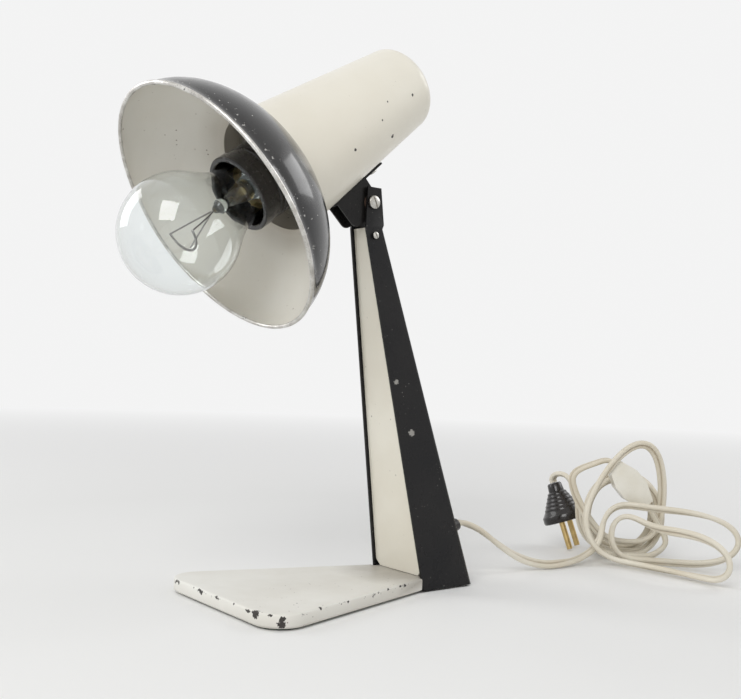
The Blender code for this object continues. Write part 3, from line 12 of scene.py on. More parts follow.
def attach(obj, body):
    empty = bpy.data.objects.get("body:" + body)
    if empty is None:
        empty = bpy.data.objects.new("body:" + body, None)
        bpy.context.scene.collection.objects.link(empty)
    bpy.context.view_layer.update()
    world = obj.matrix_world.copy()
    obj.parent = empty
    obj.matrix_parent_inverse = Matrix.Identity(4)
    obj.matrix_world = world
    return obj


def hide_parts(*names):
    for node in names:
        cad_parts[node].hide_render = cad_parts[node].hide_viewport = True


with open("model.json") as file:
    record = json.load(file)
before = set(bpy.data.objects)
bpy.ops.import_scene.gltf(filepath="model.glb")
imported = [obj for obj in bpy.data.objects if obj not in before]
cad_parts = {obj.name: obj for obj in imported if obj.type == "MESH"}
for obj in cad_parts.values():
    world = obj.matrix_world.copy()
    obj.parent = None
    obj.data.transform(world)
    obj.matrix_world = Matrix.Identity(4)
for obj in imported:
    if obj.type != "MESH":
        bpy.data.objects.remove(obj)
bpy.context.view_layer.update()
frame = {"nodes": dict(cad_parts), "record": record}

# Camera: where the photograph was taken from, its turn and its lens
camera_place = (0.43775, -0.36521, 0.12203)
camera_azimuth = radians(52.2)
camera_elevation = radians(-1.11)
camera_roll = radians(2.0)
camera_lens = 48.58
camera_sensor = 36.0

# Head: its pivot, its tilt at rest and the distance from the pivot to the shade's axis
pivot = next(joint for joint in frame["record"]["behaviour"]["joints"]
             if joint["name"] == "head_tilt")["pos_m"]
head_tilt = radians(36.2)
axis_height = 0.0428
seat_gap = 0.0003

# Shade cup and reflector bowl, as in the solids; distances run forward from the pivot
cup_front = 0.0458
cup_rear = 0.0535
cup_front_radius = 0.0342
cup_rear_radius = 0.0239
cup_dome = 0.0129
cup_sheet = 0.0009
cup_holes = ((0.0155, 0.0017), (-0.014, 0.0017), (0.006, 0.0024))
cup_hole_span = (0.004, 0.024)
cup_lip_wear = 0.004
bowl_rim_front = 0.0857
bowl_radius = 0.0677
bowl_depth = 0.0472
bowl_power = 1.9
bowl_sheet = 0.0009
bowl_bead_radius = 0.0011
bowl_bead_start = radians(-60)
bowl_bead_sweep = radians(250)
bowl_wear_reach = 0.016
bowl_darkening_reach = 0.012
neck_length = 0.009

# Lampholder skirt
holder_front = 0.0685
holder_radius = 0.02
holder_wall = 0.0022
skirt_length = 0.037
skirt_ring_radius = 0.0206
skirt_ring_length = 0.006
skirt_edge = 0.0006
groove_count = 3
groove_start = 0.004
groove_pitch = 0.0028
groove_depth = 0.0005
groove_floor = 0.0013
groove_end = 0.0018

# Bulb
bulb_radius = 0.03
bulb_centre = 0.107
bulb_sphere_sweep = radians(125)
bulb_neck_radius = 0.016
bulb_neck_front = 0.072
bulb_glass_wall = 0.0005
bulb_cap_front = 0.0595
glass_seat_radius = 0.0123
glass_end = 0.0558
stem_front = 0.085
stem_radius = 0.004
stem_waist = 0.0024
stem_flare = 0.0112
wire_front = 0.106
filament_sag = 0.01
filament_reach = 0.0112
coil_radius = 0.0005
coil_wire_radius = 0.00013
coil_turns = 70
coil_steps = 10

# Chips on the cup: turn in degrees, distance forward and size
cup_chips = (
    (-16.2, 0.0117, 0.001),
    (-34.1, -0.0195, 0.0014),
    (4.9, -0.0231, 0.0007),
    (-8.5, -0.0141, 0.0007),
    (-6.0, -0.0426, 0.0009),
)

# Chips on the column and on the plate's edges: place and size
column_chips = (
    ((0.0157, -0.0071, 0.0875), 0.0026),
    ((0.0136, -0.0174, 0.1154), 0.0019),
)
plate_chips = (
    ((0.04, -0.119, 0.0068), 0.003),
    ((0.0515, -0.1111, 0.0056), 0.002),
    ((0.0512, -0.1115, 0.0034), 0.0026),
    ((0.049, -0.088, 0.0078), 0.0014),
)

# Base plate
plate_bottom = 0.0011
plate_top = 0.0081
plate_length = 0.119
plate_front_width = 0.117
plate_rear_width = 0.0446
plate_rear = -0.00182
plate_half_rear = plate_rear_width / 2
plate_slope = (plate_front_width / 2 - plate_half_rear) / plate_length
plate_corner_radius = 0.015
plate_round = 0.001
plate_wear_width = 0.003
plate_inner_inset = 0.011
plate_cell = 0.012
plate_round_steps = 4
plate_side_wear = 0.86
plate_low_wear = 0.62
plate_side_darkening = 0.25
plate_darkening_reach = 0.028
foot_hole = (0.011, 0.017)
foot_hole_profile = ((0, -0.001), (0.0043, -0.001), (0.0043, 0.0014), (0.0022, 0.0036),
                     (0.0022, 0.02), (0, 0.02))
tongue_length = 0.031
tongue_half_width = 0.01998

# Screws seen from outside: radius and height of the head, shank radius, length
pivot_screw = (0.0036, 0.0022, 0.002, 0.0182)
panel_screw = (0.0019, 0.0012, 0.001, 0.0174)
slot_width = 0.0009
slot_depth = 0.0009
slot_turn = radians(24)
dome_share = 0.45
ear_half_width = 0.0073
panel_half_width = 0.00792
panel_screw_place = (-0.0316, 0.1948)

# Cord: a flat twin section, and the bush's tip that it leaves
cord_width = 0.006
cord_thickness = 0.0032
cord_step = 0.0022
cord_radius = 0.0024
cord_smoothing = 5
cord_twist = radians(55)
cord_twist_length = 0.23
cord_twist_ease = 0.06
cord_turn_most = 0.25
cord_turn_bend = 400
groove_width_share = 0.7
route_steps = 24
exit_height = 0.027
exit_rear = 0.02863
web_lean = atan2(0.0617, 0.199)
bush_tail = 0.0156
cord_lowest = 0.003
lead_places = (
    (0.0, 0.05, 0.0318),
    (0.002, 0.06, 0.0278),
    (0.004, 0.073, 0.019),
    (0.006, 0.086, 0.011),
    (0.008, 0.0995, 0.0056),
    (0.01, 0.113, cord_lowest),
    (0.011, 0.1276, cord_lowest),
    (0.01, 0.142, 0.0038),
)

# Bundle of cord, as in the solids
bundle_place = (0.018, 0.182)
bundle_turn = radians(52.2)
bundle_height = 0.028
bundle_tall_share = 1.1
floor_ease = 0.0012
loops_start = radians(195)
loops_turn_shares = (0, 0.25, 0.5, 0.8, 1, 1.25, 1.5, 1.8, 2.05, 2.3, 2.55, 2.8, 3.05, 3.2)
loops_ahead = (0.0075, 0.013, 0.011, 0.0105, 0.014, 0.026, 0.022, 0.019, 0.016, 0.0105,
               -0.0025, -0.002, 0.0005, 0.002)
loops_radius = (0.0195, 0.0125, 0.0245, 0.023, 0.0145, 0.006, 0.022, 0.023, 0.032, 0.0285,
                0.022, 0.014, 0.0235, 0.0255)
petal_turn_shares = ((0.5, 0.36), (1.52, 0.4), (2.36, 0.26), (3.16, 0.2))
petal_pulls = (
    (0.039, -0.0125, 0.02),
    (0.018, -0.0165, 0.058),
    (0.0, 0.022, 0.0005),
    (-0.0185, 0.0125, 0.0015),
)
loops_join = (-0.0057, -0.0137, 0.001)
loops_bend = (-0.0012, -0.0066, 0.0005)
wraps_start = radians(-10)
wraps_turn_shares = (0, 0.5, 1, 2, 3, 4, 4.5)
wraps_ahead = (0.002, -0.0055, -0.0085, -0.015, -0.021, -0.0275, -0.029)
wraps_radius = (0.0285, 0.0265, 0.024, 0.0265, 0.0215, 0.024, 0.027)
tail_places = ((-0.033, 0.051, -0.036), (-0.0395, 0.0525, -0.0435))
tail_points = 9
points_per_turn = 24
switch_start = (-0.012, 0.0645, 0.004)
switch_end = (0.01, 0.039, 0.005)
plug_place = (-0.041, 0.0453, -0.048)
plug_lean = (0.3, -0.94, 0.15)
plug_length = 0.0275
plug_radius = 0.015
plug_grip_radius = 0.0125
plug_neck_radius = 0.005
plug_neck_length = 0.006
plug_rim = 0.006
plug_hole_radius = 0.0022
plug_pin_spread = 0.019
plug_pin_seat = 0.0083
plug_edge = 0.0008
plug_collar = 0.0005
plug_rib_count = 5
plug_rib_depth = 0.0004
plug_rib_floor = 0.001
plug_rib_end = 0.0016
plug_hole_reach = 0.004
plug_steps = 96

# Softened edges: how near points are joined, and what counts as flat or sharp
weld_reach = 0.000002
flat_angle = radians(0.6)
sharp_angle = radians(32)

# Steps round turned shells
shell_steps = 128
small_steps = 48
arc_steps = 10
axis_reach = 0.000003

collection = bpy.data.collections.new("looks")
bpy.context.scene.collection.children.link(collection)


def placed(name, data):
    """A new object of this script's collection."""
    made = bpy.data.objects.new(name, data)
    collection.objects.link(made)
    return made


# ---- camera ----

def build_camera():
    """The camera at the photograph's place, turn and lens."""
    back = Vector((sin(camera_azimuth) * cos(camera_elevation),
                   -cos(camera_azimuth) * cos(camera_elevation),
                   sin(camera_elevation)))
    level = Vector((cos(camera_azimuth), sin(camera_azimuth), 0))
    upward = back.cross(level)
    right = level * cos(camera_roll) + upward * sin(camera_roll)
    up = back.cross(right)
    data = bpy.data.cameras.new("photo_camera")
    data.lens = camera_lens
    data.sensor_width = camera_sensor
    data.sensor_fit = "HORIZONTAL"
    made = placed("photo_camera", data)
    turn = Matrix((right, up, back)).transposed().to_4x4()
    made.matrix_world = Matrix.Translation(camera_place) @ turn
    bpy.context.scene.camera = made


build_camera()


# ---- places on the head ----

head_place = Matrix.Translation(pivot) @ Matrix.Rotation(head_tilt, 4, "X")
shade_place = (head_place @ Matrix.Translation((0, 0, axis_height))
               @ Matrix.Rotation(radians(90), 4, "X"))
cup_taper = atan2(cup_front_radius - cup_rear_radius, cup_front + cup_rear)


def cup_radius(forward):
    """The cup's outer radius at a distance forward of the pivot."""
    share = (forward + cup_rear) / (cup_front + cup_rear)
    return cup_rear_radius + (cup_front_radius - cup_rear_radius) * share


def on_cup(turn, forward):
    """A place on the cup's outside, by its turn in degrees and its distance forward."""
    angle = radians(turn)
    radius = cup_radius(forward)
    place = shade_place @ Vector((radius * cos(angle), radius * sin(angle), forward))
    return tuple(place)


# ---- finishes ----

coat_roughness = 0.08
bump_distance = 0.0004
refraction = 1.45
cloud_limits = (0.35, 0.65)
fine_limits = (0.3, 0.7)
darkening_limits = (0.3, 0.6)
speck_limits = (0.5, 0.62)
speck_edge = 0.6
chip_edge = 0.015
chip_roughness = 0.6
spot_scale = 900.0
spot_reach = 1.6
spot_edge = 0.12
worn_lift = 0.12
worn_edge = 0.02


def feed(tree, socket, value):
    """Links an input to another node's output, or sets it to a number or a colour."""
    if isinstance(value, bpy.types.NodeSocket):
        tree.links.new(value, socket)
    else:
        socket.default_value = (*value, 1.0) if isinstance(value, tuple) else value


def node(tree, kind, **values):
    """A shader node with its settings; keys that name an input feed that input."""
    made = tree.nodes.new(kind)
    for key, value in values.items():
        if key in made.inputs:
            feed(tree, made.inputs[key], value)
        else:
            setattr(made, key, value)
    return made


def noise(tree, coordinates, scale, detail=4.0, roughness=0.55):
    """A noise texture's value."""
    made = node(tree, "ShaderNodeTexNoise", Vector=coordinates, Scale=scale, Detail=detail,
                Roughness=roughness)
    return made.outputs[0]


def ramp(tree, value, low, high, start=0.0, end=1.0):
    """A value stretched between two limits."""
    made = node(tree, "ShaderNodeMapRange", clamp=True)
    for socket, given in zip(made.inputs, (value, low, high, start, end)):
        feed(tree, socket, given)
    return made.outputs[0]


def sum_of(tree, operation, first, second):
    """A math node on two values."""
    made = node(tree, "ShaderNodeMath", operation=operation)
    for socket, value in zip(made.inputs, (first, second)):
        feed(tree, socket, value)
    return made.outputs[0]


def mixed(tree, mask, first, second):
    """One colour laid over another by a mask."""
    made = node(tree, "ShaderNodeMix", data_type="RGBA")
    for index, value in ((0, mask), (6, first), (7, second)):
        feed(tree, made.inputs[index], value)
    return made.outputs[2]


def finish(name, colour, second, scale=30.0, roughness=(0.3, 0.45), metallic=0.0, bump=0.0,
           bump_scale=400.0, specks=None, chips=None, spots=(), worn=None, darkening=None, coat=0.0,
           transmission=0.0, specular=0.5):
    """A procedural finish on a Principled shader.

    specks is (colour, scale, size): fine dots. chips is (colour, scale, share): torn flakes.
    spots are (place, radius): more of these flakes, at known places. worn is (colour, scale,
    share): flakes where the mesh's wear attribute is high. darkening is (colour, share): a
    darker colour where its darkening attribute is high; in the cord's groove it is painted shade.
    """
    made = bpy.data.materials.new(name)
    made.use_nodes = True
    tree = made.node_tree
    shader = tree.nodes["Principled BSDF"]
    place = node(tree, "ShaderNodeTexCoord").outputs["Object"]
    cloud = noise(tree, place, scale)
    fine = noise(tree, place, scale * 9)
    paint = mixed(tree, ramp(tree, cloud, *cloud_limits), colour, second)
    rough = ramp(tree, fine, *fine_limits, *roughness)
    height = noise(tree, place, bump_scale, 3.0)
    # A darker colour where the mesh's darkening attribute is high: painted shade in the cord's
    # groove, and a darker tone towards the plate's column and the bowl's neck.
    if darkening is not None:
        mask = node(tree, "ShaderNodeAttribute", attribute_name="darkening").outputs["Fac"]
        share = ramp(tree, cloud, *darkening_limits, darkening[1] / 2, darkening[1])
        mask = sum_of(tree, "MULTIPLY", mask, share)
        paint = mixed(tree, mask, paint, darkening[0])
    if specks is not None:
        dots = node(tree, "ShaderNodeTexVoronoi", Vector=place, Scale=specks[1])
        mask = ramp(tree, dots.outputs["Distance"], specks[2], specks[2] * speck_edge)
        where = ramp(tree, noise(tree, place, scale * 2.3), *speck_limits)
        paint = mixed(tree, sum_of(tree, "MULTIPLY", mask, where), paint, specks[0])
    masks = []
    if chips is not None:
        flake = noise(tree, place, chips[1], 6.0, 0.6)
        masks.append((ramp(tree, flake, chips[2], chips[2] + chip_edge), chips[0]))
    for spot, radius in spots:
        apart = node(tree, "ShaderNodeVectorMath", operation="DISTANCE")
        tree.links.new(place, apart.inputs[0])
        apart.inputs[1].default_value = spot
        torn = sum_of(tree, "MULTIPLY", noise(tree, place, spot_scale, 3.0), radius * spot_reach)
        near = sum_of(tree, "SUBTRACT", torn, apart.outputs["Value"])
        masks.append((ramp(tree, near, 0.0, radius * spot_edge), chips[0]))
    if worn is not None:
        edge = node(tree, "ShaderNodeAttribute", attribute_name="wear").outputs["Fac"]
        flake = noise(tree, place, worn[1], 6.0, 0.62)
        torn = sum_of(tree, "MULTIPLY", edge, sum_of(tree, "ADD", flake, worn_lift))
        masks.append((ramp(tree, torn, worn[2], worn[2] + worn_edge), worn[0]))
    for mask, under in masks:
        paint = mixed(tree, mask, paint, under)
        rough = sum_of(tree, "MAXIMUM", rough, sum_of(tree, "MULTIPLY", mask, chip_roughness))
        height = sum_of(tree, "SUBTRACT", height, mask)
    for key, value in (("Base Color", paint), ("Roughness", rough), ("Metallic", metallic),
                       ("IOR", refraction), ("Specular IOR Level", specular),
                       ("Coat Weight", coat), ("Coat Roughness", coat_roughness),
                       ("Transmission Weight", transmission)):
        feed(tree, shader.inputs[key], value)
    if bump:
        rise = node(tree, "ShaderNodeBump", Height=height, Strength=bump, Distance=bump_distance)
        feed(tree, shader.inputs["Normal"], rise.outputs["Normal"])
    return made


dark_chip = (0.035, 0.03, 0.027)
grey_chip = (0.3, 0.29, 0.27)
bare_metal = (0.42, 0.41, 0.39)
column_black = finish(
    "column_black", (0.008, 0.008, 0.009), (0.015, 0.014, 0.014), 22.0, (0.22, 0.38), bump=0.1,
    specular=0.25, specks=((0.35, 0.34, 0.31), 420.0, 0.1), chips=(grey_chip, 75.0, 0.745),
    spots=column_chips)
bracket_black = finish(
    "bracket_black", (0.009, 0.008, 0.008), (0.016, 0.015, 0.014), 40.0, (0.24, 0.4), bump=0.1,
    specular=0.25, specks=(grey_chip, 500.0, 0.12), chips=(grey_chip, 120.0, 0.74))
bowl_black = finish(
    "bowl_black", (0.01, 0.01, 0.011), (0.018, 0.017, 0.016), 18.0, (0.14, 0.3), bump=0.08,
    specks=((0.5, 0.49, 0.46), 260.0, 0.1), chips=((0.46, 0.45, 0.42), 95.0, 0.74),
    worn=(bare_metal, 420.0, 0.73), coat=0.5, specular=0.35)
# The bowl's inside is laid darker towards its neck.
bowl_white = finish(
    "bowl_white", (0.76, 0.74, 0.68), (0.7, 0.67, 0.59), 12.0, (0.32, 0.46), bump=0.06,
    specks=((0.22, 0.18, 0.13), 210.0, 0.11), darkening=((0.36, 0.31, 0.24), 0.6))
rim_metal = finish(
    "rim_metal", (0.72, 0.71, 0.68), (0.45, 0.43, 0.4), 160.0, (0.22, 0.42), 0.8, bump=0.1,
    chips=((0.05, 0.05, 0.05), 220.0, 0.66))
cup_ivory = finish(
    "cup_ivory", (0.8, 0.77, 0.68), (0.76, 0.72, 0.62), 14.0, (0.3, 0.44), bump=0.05,
    specks=((0.24, 0.2, 0.15), 230.0, 0.06), chips=(dark_chip, 62.0, 0.765),
    spots=[(on_cup(turn, forward), size) for turn, forward, size in cup_chips],
    worn=(dark_chip, 330.0, 0.62), coat=0.25)
# Near-black inside of the cup: painted shade for the deep shade inside it, behind the lampholder.
cup_inside_painted_shade = finish(
    "cup_inside_painted_shade", (0.024, 0.022, 0.02), (0.015, 0.014, 0.013), 20.0, (0.5, 0.7), bump=0.1)
panel_cream = finish(
    "panel_cream", (0.76, 0.73, 0.64), (0.68, 0.64, 0.54), 16.0, (0.32, 0.48), bump=0.05,
    specks=((0.14, 0.12, 0.09), 210.0, 0.12), chips=(dark_chip, 85.0, 0.72))
# The plate's darker colour lies towards the column's foot and on its sides.
plate_white = finish(
    "plate_white", (0.8, 0.79, 0.74), (0.7, 0.68, 0.62), 11.0, (0.38, 0.58), bump=0.12,
    specks=((0.16, 0.14, 0.12), 260.0, 0.11), chips=(dark_chip, 58.0, 0.755),
    spots=plate_chips, worn=(dark_chip, 210.0, 0.67), darkening=((0.2, 0.17, 0.13), 0.85))
screw_steel = finish(
    "screw_steel", (0.62, 0.61, 0.58), (0.45, 0.43, 0.39), 300.0, (0.2, 0.4), 1.0, bump=0.1,
    bump_scale=2500.0, chips=((0.16, 0.12, 0.09), 520.0, 0.68))
sheet_steel = finish(
    "sheet_steel", (0.5, 0.49, 0.47), (0.36, 0.34, 0.31), 90.0, (0.35, 0.55), 1.0, bump=0.12)
plain_brass = finish(
    "plain_brass", (0.58, 0.43, 0.19), (0.42, 0.3, 0.14), 150.0, (0.28, 0.5), 1.0, bump=0.08)
black_moulding = finish(
    "black_moulding", (0.011, 0.01, 0.01), (0.02, 0.017, 0.015), 60.0, (0.16, 0.3), bump=0.05,
    specks=((0.16, 0.14, 0.12), 600.0, 0.07), coat=0.35, specular=0.35)
white_porcelain = finish(
    "white_porcelain", (0.74, 0.72, 0.67), (0.66, 0.63, 0.57), 70.0, (0.18, 0.3), coat=0.5)
brown_fibre = finish(
    "brown_fibre", (0.085, 0.05, 0.034), (0.055, 0.034, 0.024), 300.0, (0.7, 0.9), bump=0.25)
green_felt = finish(
    "green_felt", (0.05, 0.08, 0.06), (0.032, 0.052, 0.04), 160.0, (0.92, 1.0), bump=0.5,
    bump_scale=1800.0)
# The cord's darker colour is painted shade, laid in the groove between its two cores.
cord_cream = finish(
    "cord_cream", (0.76, 0.72, 0.62), (0.66, 0.6, 0.48), 24.0, (0.36, 0.52), bump=0.06,
    specks=((0.22, 0.17, 0.12), 420.0, 0.08), darkening=((0.34, 0.27, 0.18), 0.7))
switch_white = finish(
    "switch_white", (0.8, 0.78, 0.71), (0.74, 0.71, 0.62), 45.0, (0.26, 0.4), bump=0.04,
    specks=((0.3, 0.25, 0.18), 500.0, 0.07), coat=0.2)
tungsten = finish(
    "tungsten", (0.34, 0.33, 0.32), (0.24, 0.23, 0.22), 900.0, (0.35, 0.5), 1.0)
bulb_clear = finish(
    "bulb_clear", (0.96, 0.98, 0.98), (0.94, 0.96, 0.96), 12.0, (0.0, 0.02), transmission=1.0)
stem_glass = finish(
    "stem_glass", (0.92, 0.96, 0.95), (0.88, 0.93, 0.92), 30.0, (0.02, 0.06), transmission=1.0)

node_finishes = {
    screw_steel: "foot_screw_left foot_screw_right foot_nut_left foot_nut_right panel_nut "
                 "pivot_nut bracket_screw_front bracket_screw_rear bracket_nut_front "
                 "bracket_nut_rear holder_lock_nut holder_nipple clip_screw switch_screw_1 "
                 "switch_screw_2 pivot_sleeve",
    sheet_steel: "holder_bracket lead_clip",
    plain_brass: "holder_shell centre_contact terminal_screw_left terminal_screw_right bulb_cap "
                 "bulb_contact switch_contact plug_pin_left plug_pin_right",
    black_moulding: "holder_cap bulb_insulator cord_bush",
    white_porcelain: "holder_insert",
    brown_fibre: "friction_washer_left friction_washer_right",
    green_felt: "base_felt",
    cord_cream: "column_lead head_lead",
    switch_white: "switch_rocker",
    tungsten: "bulb_wire_left bulb_wire_right filament_support",
}
for paint, names in node_finishes.items():
    for name in names.split():
        for slot in frame["nodes"][name].material_slots:
            slot.material = paint


# ---- meshes ----

def finish_piece(name, mesh, paints, body, replaced, sharp=35.0):
    """Links a mesh as a piece that rides on a body and replaces solids."""
    for paint in paints:
        mesh.materials.append(paint)
    mesh.shade_smooth()
    mesh.set_sharp_from_angle(angle=radians(sharp))
    made = placed(name, mesh)
    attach(made, body)
    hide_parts(*replaced)
    return made


def mesh_of(work, name):
    """A mesh of a bmesh's faces, which frees the bmesh."""
    mesh = bpy.data.meshes.new(name)
    work.to_mesh(mesh)
    work.free()
    return mesh


def lathe(name, profile, place, steps=shell_steps, closed=True, paint_of=None):
    """A turned shell about local Z, from (radius, height) points; paint_of picks a slot."""
    work = bmesh.new()
    rings = []
    for radius, height in profile:
        if radius < axis_reach:
            rings.append([work.verts.new(place @ Vector((0, 0, height)))])
            continue
        rings.append([
            work.verts.new(place @ Vector((radius * cos(2 * pi * step / steps),
                                           radius * sin(2 * pi * step / steps), height)))
            for step in range(steps)
        ])
    pairs = list(zip(range(len(rings)), range(1, len(rings))))
    if closed:
        pairs.append((len(rings) - 1, 0))
    for number, (first, second) in enumerate(pairs):
        one, two = rings[first], rings[second]
        if len(one) == 1 and len(two) == 1:
            continue
        for step in range(steps):
            after = (step + 1) % steps
            corners = [one[step % len(one)], two[step % len(two)],
                       two[after % len(two)], one[after % len(one)]]
            corners = list(dict.fromkeys(corners))
            face = work.faces.new(corners)
            if paint_of is not None:
                face.material_index = paint_of(number)
    bmesh.ops.recalc_face_normals(work, faces=work.faces)
    return mesh_of(work, name)


def stitch(work, rings):
    """Faces between rings of equally many points."""
    for one, two in zip(rings, rings[1:]):
        for index in range(len(one)):
            after = (index + 1) % len(one)
            work.faces.new((one[index], one[after], two[after], two[index]))


def attribute(mesh, name, values):
    """Stores one number per vertex for the finishes."""
    made = mesh.attributes.new(name, "FLOAT", "POINT")
    made.data.foreach_set("value", np.array(values, dtype=np.float32))


def cut(mesh, tools):
    """Cuts meshes out of a mesh with the exact solver."""
    target = bpy.data.objects.new("cut_target", mesh)
    bpy.context.scene.collection.objects.link(target)
    made = []
    for tool in tools:
        holder = bpy.data.objects.new("cut_tool", tool)
        bpy.context.scene.collection.objects.link(holder)
        modifier = target.modifiers.new("cut", "BOOLEAN")
        modifier.operation = "DIFFERENCE"
        modifier.solver = "EXACT"
        modifier.object = holder
        made.append(holder)
    bpy.context.view_layer.update()
    evaluated = target.evaluated_get(bpy.context.evaluated_depsgraph_get())
    result = bpy.data.meshes.new_from_object(evaluated)
    for holder in made + [target]:
        bpy.data.objects.remove(holder, do_unlink=True)
    result.materials.clear()
    return result


def shade_distance(place):
    """How far forward a point is along the shade's axis, and its distance from that axis."""
    local = shade_place.inverted() @ place
    return local.z, hypot(local.x, local.y)


# ---- shade ----

def cup_outline(inset):
    """The cup's outline from its mouth to the middle of its domed end."""
    points = []
    for step in range(arc_steps):
        forward = cup_front + (-cup_rear - cup_front) * step / arc_steps
        points.append((cup_radius(forward) - inset, forward))
    for step in range(2 * arc_steps + 1):
        angle = pi / 2 * step / (2 * arc_steps)
        points.append(((cup_rear_radius - inset) * cos(angle),
                       -cup_rear - (cup_dome - inset) * sin(angle)))
    points[-1] = (0.0, points[-1][1])
    return points


def build_cup():
    """The ivory cup with its holes for the bracket screws and the lead."""
    outer = cup_outline(0.0)
    profile = outer + list(reversed(cup_outline(cup_sheet)))
    count = len(outer)
    # The cup's inner faces take the near-black painted shade; its outer faces take the ivory.
    mesh = lathe("cup_shell", profile, shade_place,
                 paint_of=lambda number: 1 if count <= number < 2 * count - 1 else 0)
    strip_place = head_place @ Matrix.Rotation(cup_taper, 4, "X")
    tools = []
    low, high = cup_hole_span
    for along, radius in cup_holes:
        place = strip_place @ Matrix.Translation((0, along, 0))
        hole = [(0, low), (radius, low), (radius, high), (0, high)]
        tools.append(lathe("cup_hole", hole, place, small_steps, closed=False))
    mesh = cut(mesh, tools)
    forwards = [shade_distance(vert.co)[0] for vert in mesh.vertices]
    attribute(mesh, "wear", [1.0 - min(abs(forward - cup_front) / cup_lip_wear, 1.0)
                             for forward in forwards])
    finish_piece("cup_shell", mesh, (cup_ivory, cup_inside_painted_shade), "head",
                 ("shade_cup",))


def bowl_forward(radius):
    """How far forward the bowl's outer face is at a radius."""
    share = min(radius / bowl_radius, 1.0)
    return bowl_rim_front - bowl_depth * (1 - share ** bowl_power) ** (1 / bowl_power)


def build_bowl():
    """The bowl: black outside, off-white inside, with a rolled bright rim."""
    neck = cup_radius(cup_front) - cup_sheet - seat_gap
    taper = (cup_front_radius - cup_rear_radius) / (cup_front + cup_rear)
    neck_rear_radius = neck - neck_length * taper
    start = cup_front_radius + bowl_sheet
    outer = []
    count = 3 * arc_steps
    for step in range(count + 1):
        radius = start + (bowl_radius - start) * cos(pi / 2 * step / count)
        outer.append((radius, max(bowl_forward(radius), cup_front + seat_gap)))
    bead = []
    for step in range(arc_steps + 1):
        angle = bowl_bead_start + bowl_bead_sweep * step / arc_steps
        bead.append((bowl_radius + bowl_bead_radius * cos(angle),
                     outer[0][1] + bowl_bead_radius * sin(angle)))
    inner = [(radius - bowl_sheet, forward + bowl_sheet / 2) for radius, forward in outer[2:-1]]
    inner.append((neck - bowl_sheet, outer[-1][1] + bowl_sheet))
    profile = list(reversed(bead)) + outer[2:]
    black_end = len(profile)
    profile += [(neck, cup_front + seat_gap), (neck_rear_radius, cup_front - neck_length),
                (neck_rear_radius - bowl_sheet, cup_front - neck_length), *reversed(inner)]
    rim = len(bead)

    def paint_of(number):
        if number < rim - 1:
            return 2
        return 0 if number < black_end else 1

    mesh = lathe("bowl_shell", profile, shade_place, paint_of=paint_of)
    radii = [shade_distance(vert.co)[1] for vert in mesh.vertices]
    attribute(mesh, "wear", [1.0 - min(abs(radius - bowl_radius) / bowl_wear_reach, 1.0)
                             for radius in radii])
    # Darker towards the neck inside the bowl.
    attribute(mesh, "darkening", [max(0.0, 1.0 - (radius - cup_front_radius) / bowl_darkening_reach)
                              for radius in radii])
    finish_piece("bowl_shell", mesh, (bowl_black, bowl_white, rim_metal), "head",
                 ("reflector_bowl",), 50.0)


def build_skirt():
    """The lampholder's skirt with its ring at the front and fine grooves."""
    rear = holder_front - skirt_length
    ring_rear = holder_front - skirt_ring_length
    profile = [(skirt_ring_radius - skirt_edge, holder_front),
               (skirt_ring_radius, holder_front - skirt_edge),
               (skirt_ring_radius, ring_rear), (holder_radius, ring_rear - skirt_edge)]
    for number in range(groove_count):
        at = ring_rear - groove_start - number * groove_pitch
        floor = holder_radius - groove_depth
        profile += [(holder_radius, at), (floor, at - groove_depth), (floor, at - groove_floor),
                    (holder_radius, at - groove_end)]
    profile += [(holder_radius, rear), (holder_radius - holder_wall, rear),
                (holder_radius - holder_wall, holder_front - skirt_edge),
                (holder_radius - holder_wall + skirt_edge, holder_front)]
    mesh = lathe("skirt_shell", profile, shade_place)
    finish_piece("skirt_shell", mesh, (black_moulding,), "head", ("holder_skirt",))


# ---- bulb ----

def glass_outline(inset):
    """The bulb's glass from its top to its end in the cap."""
    radius = bulb_radius - inset
    points = [(0.0, bulb_centre + radius)]
    count = 3 * arc_steps
    for step in range(1, count + 1):
        angle = bulb_sphere_sweep * step / count
        points.append((radius * sin(angle), bulb_centre + radius * cos(angle)))
    start_radius, start = points[-1]
    neck = bulb_neck_radius - inset
    meet = start + (start_radius - neck) * tan(bulb_sphere_sweep)
    for step in range(1, arc_steps + 1):
        share = step / arc_steps
        middle = 2 * share * (1 - share)
        points.append((
            start_radius * (1 - share) ** 2 + neck * (middle + share ** 2),
            start * (1 - share) ** 2 + meet * middle + bulb_neck_front * share ** 2,
        ))
    points.append((glass_seat_radius - inset, bulb_cap_front + seat_gap))
    points.append((glass_seat_radius - inset, glass_end))
    return points


def build_filament():
    """The coiled filament, a curve that hangs between the two support wires."""
    points = []
    count = coil_turns * coil_steps
    for step in range(count + 1):
        angle = pi * step / count
        spin = 2 * pi * coil_turns * step / count
        out = Vector((-cos(angle), -sin(angle), 0))
        centre = Vector((out.x * filament_reach, out.y * filament_sag, wire_front))
        spot = centre + out * coil_radius * cos(spin)
        spot.z += coil_radius * sin(spin)
        points.append(tuple(shade_place @ spot))
    curve = bpy.data.curves.new("filament_coil", "CURVE")
    curve.dimensions = "3D"
    curve.bevel_depth = coil_wire_radius
    curve.bevel_resolution = 2
    curve.use_fill_caps = True
    spline = curve.splines.new("POLY")
    spline.points.add(len(points) - 1)
    for point, place in zip(spline.points, points):
        point.co = (*place, 1.0)
    curve.materials.append(tungsten)
    made = placed("filament_coil", curve)
    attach(made, "head")
    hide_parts("filament")


